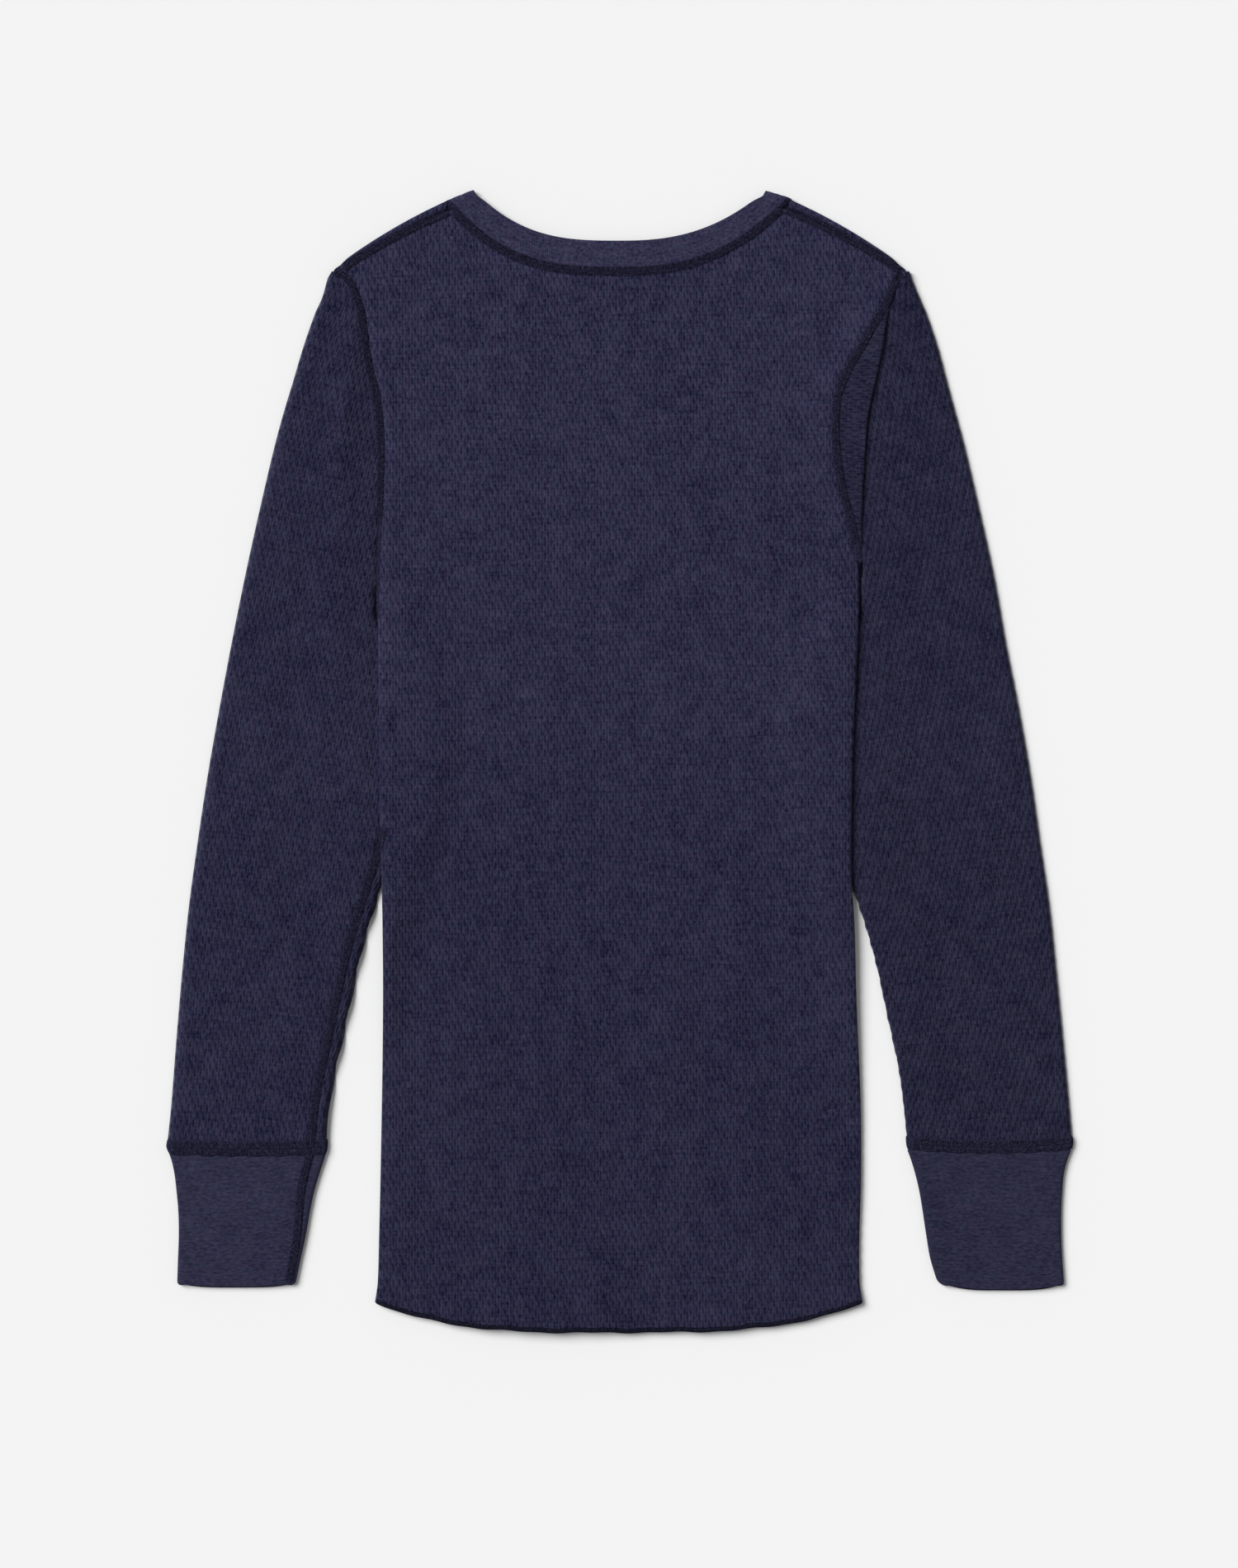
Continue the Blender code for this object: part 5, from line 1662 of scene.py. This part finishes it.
def cover_stitch(width, pitch):
    """One repeat of a flat seam's threads: a zigzag over its whole width, and its rows."""
    w, p = width / 2, pitch
    zigzag = [(-0.5 * p, -w, 0), (-0.3 * p, -0.5 * w, 0.0001), (-0.05 * p, 0.8 * w, 0.0001), (0.05 * p, w, 0),
              (0.2 * p, 0.4 * w, 0.0001), (0.5 * p, -w, 0)]
    rows = [[(-0.36 * p, y, 0.0001), (-0.1 * p, y + 0.0001, 0.00022), (0.30 * p, y, 0.0001)]
            for y in (-0.70 * w, -0.05 * w, 0.66 * w)]
    return thread([zigzag], ZIGZAG_RADIUS), thread(rows, ROW_RADIUS)


def seam_threads(name, line, width, pitch, seed, pale_rows, on=None):
    """The threads of a flat seam along a line: the zigzag, the dark rows and the paler dashes."""
    crossing, rows = cover_stitch(width * 0.90, pitch)
    dashes = thread([[(-0.34 * pitch, y, 0.00005), (0, y + 0.0001, 0.00024), (0.34 * pitch, y, 0.00005)]
                     for y in pale_rows], DASH_RADIUS)
    return [
        sewn(name + "_zigzag", line, crossing, pitch, cross_thread, 0.16, seed, on),
        sewn(name + "_rows", line, rows, pitch, dark_thread, 0.24, seed + 20, on),
        sewn(name + "_pale_dashes", line, dashes, pitch * 1.31, pale_thread, 0.26, seed + 50, on),
    ]


def flat_seam(name, line, half, seed, until=None):
    """A flat seam laid on the cloth: its strip and its threads, which end after until metres."""
    places = draped(line, half)
    strip = strip_mesh(name, places, SEAM_RISE, STRIP_SUNK, seam_base)
    middle = places[3:-3, 3]
    if until is not None:
        middle = middle[:round(until / STRIP_STEP)]
    width = 2 * float(np.max(half))
    return [strip, *seam_threads(name, middle, width, FLAT_PITCH, seed, [0.20 * width], strip)]


def neck_seam_line():
    """The back's seam with the neckband, on to the folds at its two tips."""
    xs = np.linspace(-NECK_SEAM["half"][-1] + 0.0006, NECK_SEAM["half"][1] - 0.0006, 300)
    line = np.stack([xs, neck_drop(NECK_SEAM, xs, "back")], axis=1)
    ends = []
    for side in (-1, 1):
        tip, top = fold_start(side), NECK_SEAM["top"][side]
        ends.append(np.array([[side * (tip - 0.0002), top - 0.0010], [side * (tip + 0.0008), top - 0.0022]]))
    return np.concatenate([ends[0][::-1], line, ends[1]])


def armhole_line(side):
    """An armhole's seam from the shoulder on to the underarm, and half its width. It narrows to a line where
    the body's fold hides it, and past the underarm it closes the gap beside the body."""
    drops = np.linspace(SHOULDER_DROP + 0.0025, LOBE_DROP + 0.004, 260)
    hidden = smooth(drops, *ARMHOLE_HIDDEN[side])
    out = mix(ARMHOLE_OUT[side] * smooth(drops, 0.050, 0.062), 0.0, hidden)
    line = np.stack([side * (body_edge(side, drops) + SEAM_GAP / 2 + out), drops], axis=1)
    half = mix(ARMHOLE_HALF[side], HIDDEN_HALF, hidden)
    corner = [side * SHOULDER_CORNER[0], SHOULDER_CORNER[1]]
    return np.concatenate([[corner], line]), np.concatenate([[CORNER_HALF], half])


def underarm_line():
    """The left sleeve's underarm seam and its way on over the cuff."""
    on_sleeve = np.linspace(UNDERARM_SEAM_FROM, CUFF_DROP - 0.001, 150)
    sleeve = np.stack([-(sleeve_inner(-1, on_sleeve) + UNDERARM_SEAM_IN), on_sleeve], axis=1)
    on_cuff = np.linspace(CUFF_DROP + 0.002, CUFF_END_DROP[-1] - 0.0028, 60)
    inward = mix(UNDERARM_SEAM_IN, UNDERARM_SEAM_IN_CUFF, smooth(on_cuff, CUFF_DROP, UNDERARM_SEAM_SETTLED))
    cuff = np.stack([-(cuff_folds(-1, on_cuff)[0] + inward), on_cuff], axis=1)
    return np.concatenate([sleeve, cuff])


def cuff_seam(side, name):
    """The seam round the top of a cuff, as a ring about both of its layers."""
    centre_drop, sag = CUFF_SEAM_PLACE[side]
    half = CUFF_SEAM_HALF[side]

    def ring(share, lift):
        level = centre_drop + share * half
        on_cuff = smooth(level, CUFF_DROP - 0.003, CUFF_DROP + 0.003)
        inner, outer = cuff_folds(side, level)
        inner = mix(sleeve_inner(side, level), inner, on_cuff) + CUFF_CLOTH / 2
        outer = mix(sleeve_outer(side, level), outer, on_cuff) - CUFF_CLOTH / 2
        section = cuff_section(float(inner), float(outer), 44)
        before, after = np.roll(section, 1, axis=0), np.roll(section, -1, axis=0)
        out = np.stack([before[:, 1] - after[:, 1], after[:, 0] - before[:, 0]], axis=1)
        out /= np.linalg.norm(out, axis=1, keepdims=True)
        place = section + out * lift
        reach = (section[:, 0] - (inner + outer) / 2) / ((outer - inner) / 2)
        count = np.arange(len(section))
        wave = 0.00030 * np.sin(count * 0.9) + 0.0002 * np.sin(count * 2.3 + 1)
        drops = level - sag * reach**2 - wave * abs(share)
        return as_points(side * place[:, 0], drops, np.maximum(place[:, 1], CUFF_SEAM_CLEARANCE))

    shares = np.array([-1, -0.8, -0.4, 0, 0.4, 0.8, 1])
    rows = [ring(share, CUFF_CLOTH / 2 + 0.00012 + 0.00034 * (1 - share**4)) for share in shares]
    rows += [ring(share, CUFF_CLOTH / 2 - 0.0004) for share in shares[::-1]]
    grid = np.array(rows)
    tall, around = grid.shape[:2]
    faces = tube_faces(tall, around, ring=True, inward=side > 0)
    uvs = np.stack(np.meshgrid(np.arange(around) * 0.002, np.arange(tall) * 0.001), axis=2)
    band_mesh = mesh_object(name, grid.reshape(-1, 3), faces, uvs.reshape(-1, 2), seam_base)
    pale_rows = (-0.0016 * -side, 0.0012 * -side)
    threads = seam_threads(name, grid[3, 1:43], 2 * half, CUFF_PITCH, 20 + side, pale_rows, band_mesh)
    return [band_mesh, *threads]


def hem_seam(name, surface, line):
    """Overlocked threads round the free edge of a hem."""
    line = resampled(line, 0.0015)
    inside = line - [0, 0.0011]
    edge, inner = surface(line), surface(inside)
    places = []
    for k in range(len(line)):
        out = (edge[k] - inner[k]) / np.linalg.norm(edge[k] - inner[k])
        up = np.array([0, 0, 1.0])
        wobble = 0.0002 * math.sin(k * 1.7) + 0.00015 * math.sin(k * 0.61)
        section = [(-0.0024 - wobble, 0.62), (-0.0018, 0.95), (-0.0008, 1.0), (0.0000, 0.8), (0.00030, 0.35),
                   (0.00030, -0.35), (0.0000, -0.8), (-0.0008, -1.0), (-0.0018, -0.95), (-0.0024, -0.62)]
        places.append([edge[k] + out * a + up * b * (CLOTH / 2 + 0.00030) for a, b in section])
    rings = np.array(places)
    rings[:, :, 2] = np.maximum(rings[:, :, 2], HEM_CLEARANCE)
    count, around = rings.shape[:2]
    faces, uvs = tube_faces(count, around, inward=True), np.zeros((count * around, 2))
    band_mesh = mesh_object(name, rings.reshape(-1, 3), faces, uvs, hem_thread)
    pitch, top = HEM_PITCH, CLOTH / 2 + 0.00036
    loops = thread([
        [(-0.25 * pitch, 0.0024, top * 0.7), (-0.05 * pitch, 0.0016, top), (0, 0.0002, top * 0.8)],
        [(-0.5 * pitch, 0.0021, top), (0, 0.0023, top * 1.1), (0.5 * pitch, 0.0021, top)],
    ], HEM_THREAD_RADIUS)
    threads = sewn(name + "_threads", edge, loops, pitch, hem_thread, 0.16, 40)
    return [band_mesh, threads]


seams = {
    "neckband": flat_seam("neck_seam", neck_seam_line(), SEAM_WIDTH / 2, 1),
    "back": [],
    "sleeve_left": flat_seam("armhole_seam_left", *armhole_line(-1), 3, until=ARMHOLE_SEWN[-1])
    + flat_seam("underarm_seam_left", underarm_line(), 0.0026, 5),
    "sleeve_right": flat_seam("armhole_seam_right", *armhole_line(1), 4, until=ARMHOLE_SEWN[1]),
    "front": [],
    "cuff_left": cuff_seam(-1, "cuff_seam_left"),
    "cuff_right": cuff_seam(1, "cuff_seam_right"),
}
for side, name in ((-1, "left"), (1, "right")):
    line = np.concatenate([shoulder_line(side), np.array(SHOULDER_ENDS) * [side, 1]])
    sewn_length = float(ways_along(line)[-1]) - SHOULDER_UNSEWN
    seams["back"] += flat_seam("shoulder_seam_" + name, line, SEAM_WIDTH / 2, 6 + side, until=sewn_length)
side_end = float(hem_drop(1.0))
seams["back"] += hem_seam("back_hem_seam", back_surface, hem_line(0, side_end))
seams["front"] += hem_seam("front_hem_seam", front_surface,
                           hem_line(FRONT_HEM_SHORTER, side_end - FRONT_HEM_SHORTER))

# ------------------------------------------------------------------ the frame's pieces and sheets
PIECES = (
    # piece, node, slot, flat width, flat length, flat area, what it rests on
    (back, "back", "waffle_knit", 0.326, 0.656, 0.1747, [front, sleeves[-1], sleeves[1]]),
    (front, "front", "waffle_knit", 0.326, 0.662, 0.1674, ["floor"]),
    (sleeves[-1], "sleeve_left", "waffle_knit", 0.232, 0.524, 0.0898, ["floor"]),
    (sleeves[1], "sleeve_right", "waffle_knit", 0.262, 0.524, 0.0930, ["floor"]),
    (band, "neckband", "neck_rib", 0.019, 0.470, 0.0085, ["floor"]),
    (cuffs[-1], "cuff_left", "cuff_jersey", 0.160, 0.082, 0.0130, ["floor"]),
    (cuffs[1], "cuff_right", "cuff_jersey", 0.166, 0.083, 0.0135, ["floor"]),
)
for piece, node, slot, wide, long, area, under in PIECES:
    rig.replaces(piece, node)
    for part in [piece, *seams[node]]:
        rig.ride(part, "root")
        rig.slot(part, slot)
    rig.sheet(piece, flat=(wide, long), held="laid", rests_on=under, area=area, with_pieces=seams[node])

# ------------------------------------------------------------------ floor, light and camera
floor_mesh = bpy.data.meshes.new("floor")
floor_corners = [(x * FLOOR_HALF, y * FLOOR_HALF, -FLOOR_BELOW)
                 for x, y in ((-1, -1), (1, -1), (1, 1), (-1, 1))]
floor_mesh.from_pydata(floor_corners, [], [(0, 1, 2, 3)])
floor = bpy.data.objects.new("floor", floor_mesh)
pale = bpy.data.materials.new("pale_floor")
pale.use_nodes = True
pale_inputs = pale.node_tree.nodes["Principled BSDF"].inputs
pale_inputs["Base Color"].default_value = (FLOOR_GREY, FLOOR_GREY, FLOOR_GREY, 1)
pale_inputs["Roughness"].default_value = 1.0
pale_inputs["Specular IOR Level"].default_value = 0.0
floor_mesh.materials.append(pale)
bpy.context.scene.collection.objects.link(floor)
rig.stage(floor)

world = bpy.data.worlds.new("studio")
world.use_nodes = True
sky = world.node_tree.nodes["Background"].inputs
sky["Color"].default_value = (1, 1, 1, 1)
sky["Strength"].default_value = SKY_STRENGTH
bpy.context.scene.world = world
sun = bpy.data.lights.new("key", "SUN")
sun.energy = SUN_STRENGTH
sun.angle = SUN_ANGLE
key = bpy.data.objects.new("key", sun)
key.rotation_euler = Vector(SUN_DIRECTION).to_track_quat("-Z", "Y").to_euler()
bpy.context.scene.collection.objects.link(key)

lens = bpy.data.cameras.new("camera")
lens.lens = LENS_MM
lens.clip_start, lens.clip_end = 0.05, 20
camera = bpy.data.objects.new("camera", lens)
camera.location = CAMERA_PLACE
bpy.context.scene.collection.objects.link(camera)
bpy.context.scene.camera = camera
bpy.context.scene.view_settings.view_transform = "Standard"

sizes = {"cad": [list(corner) for corner in CAD_BOUNDS], "visual": [list(corner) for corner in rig.bounds()]}
with open("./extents.json", "w") as kept:
    json.dump(sizes, kept)
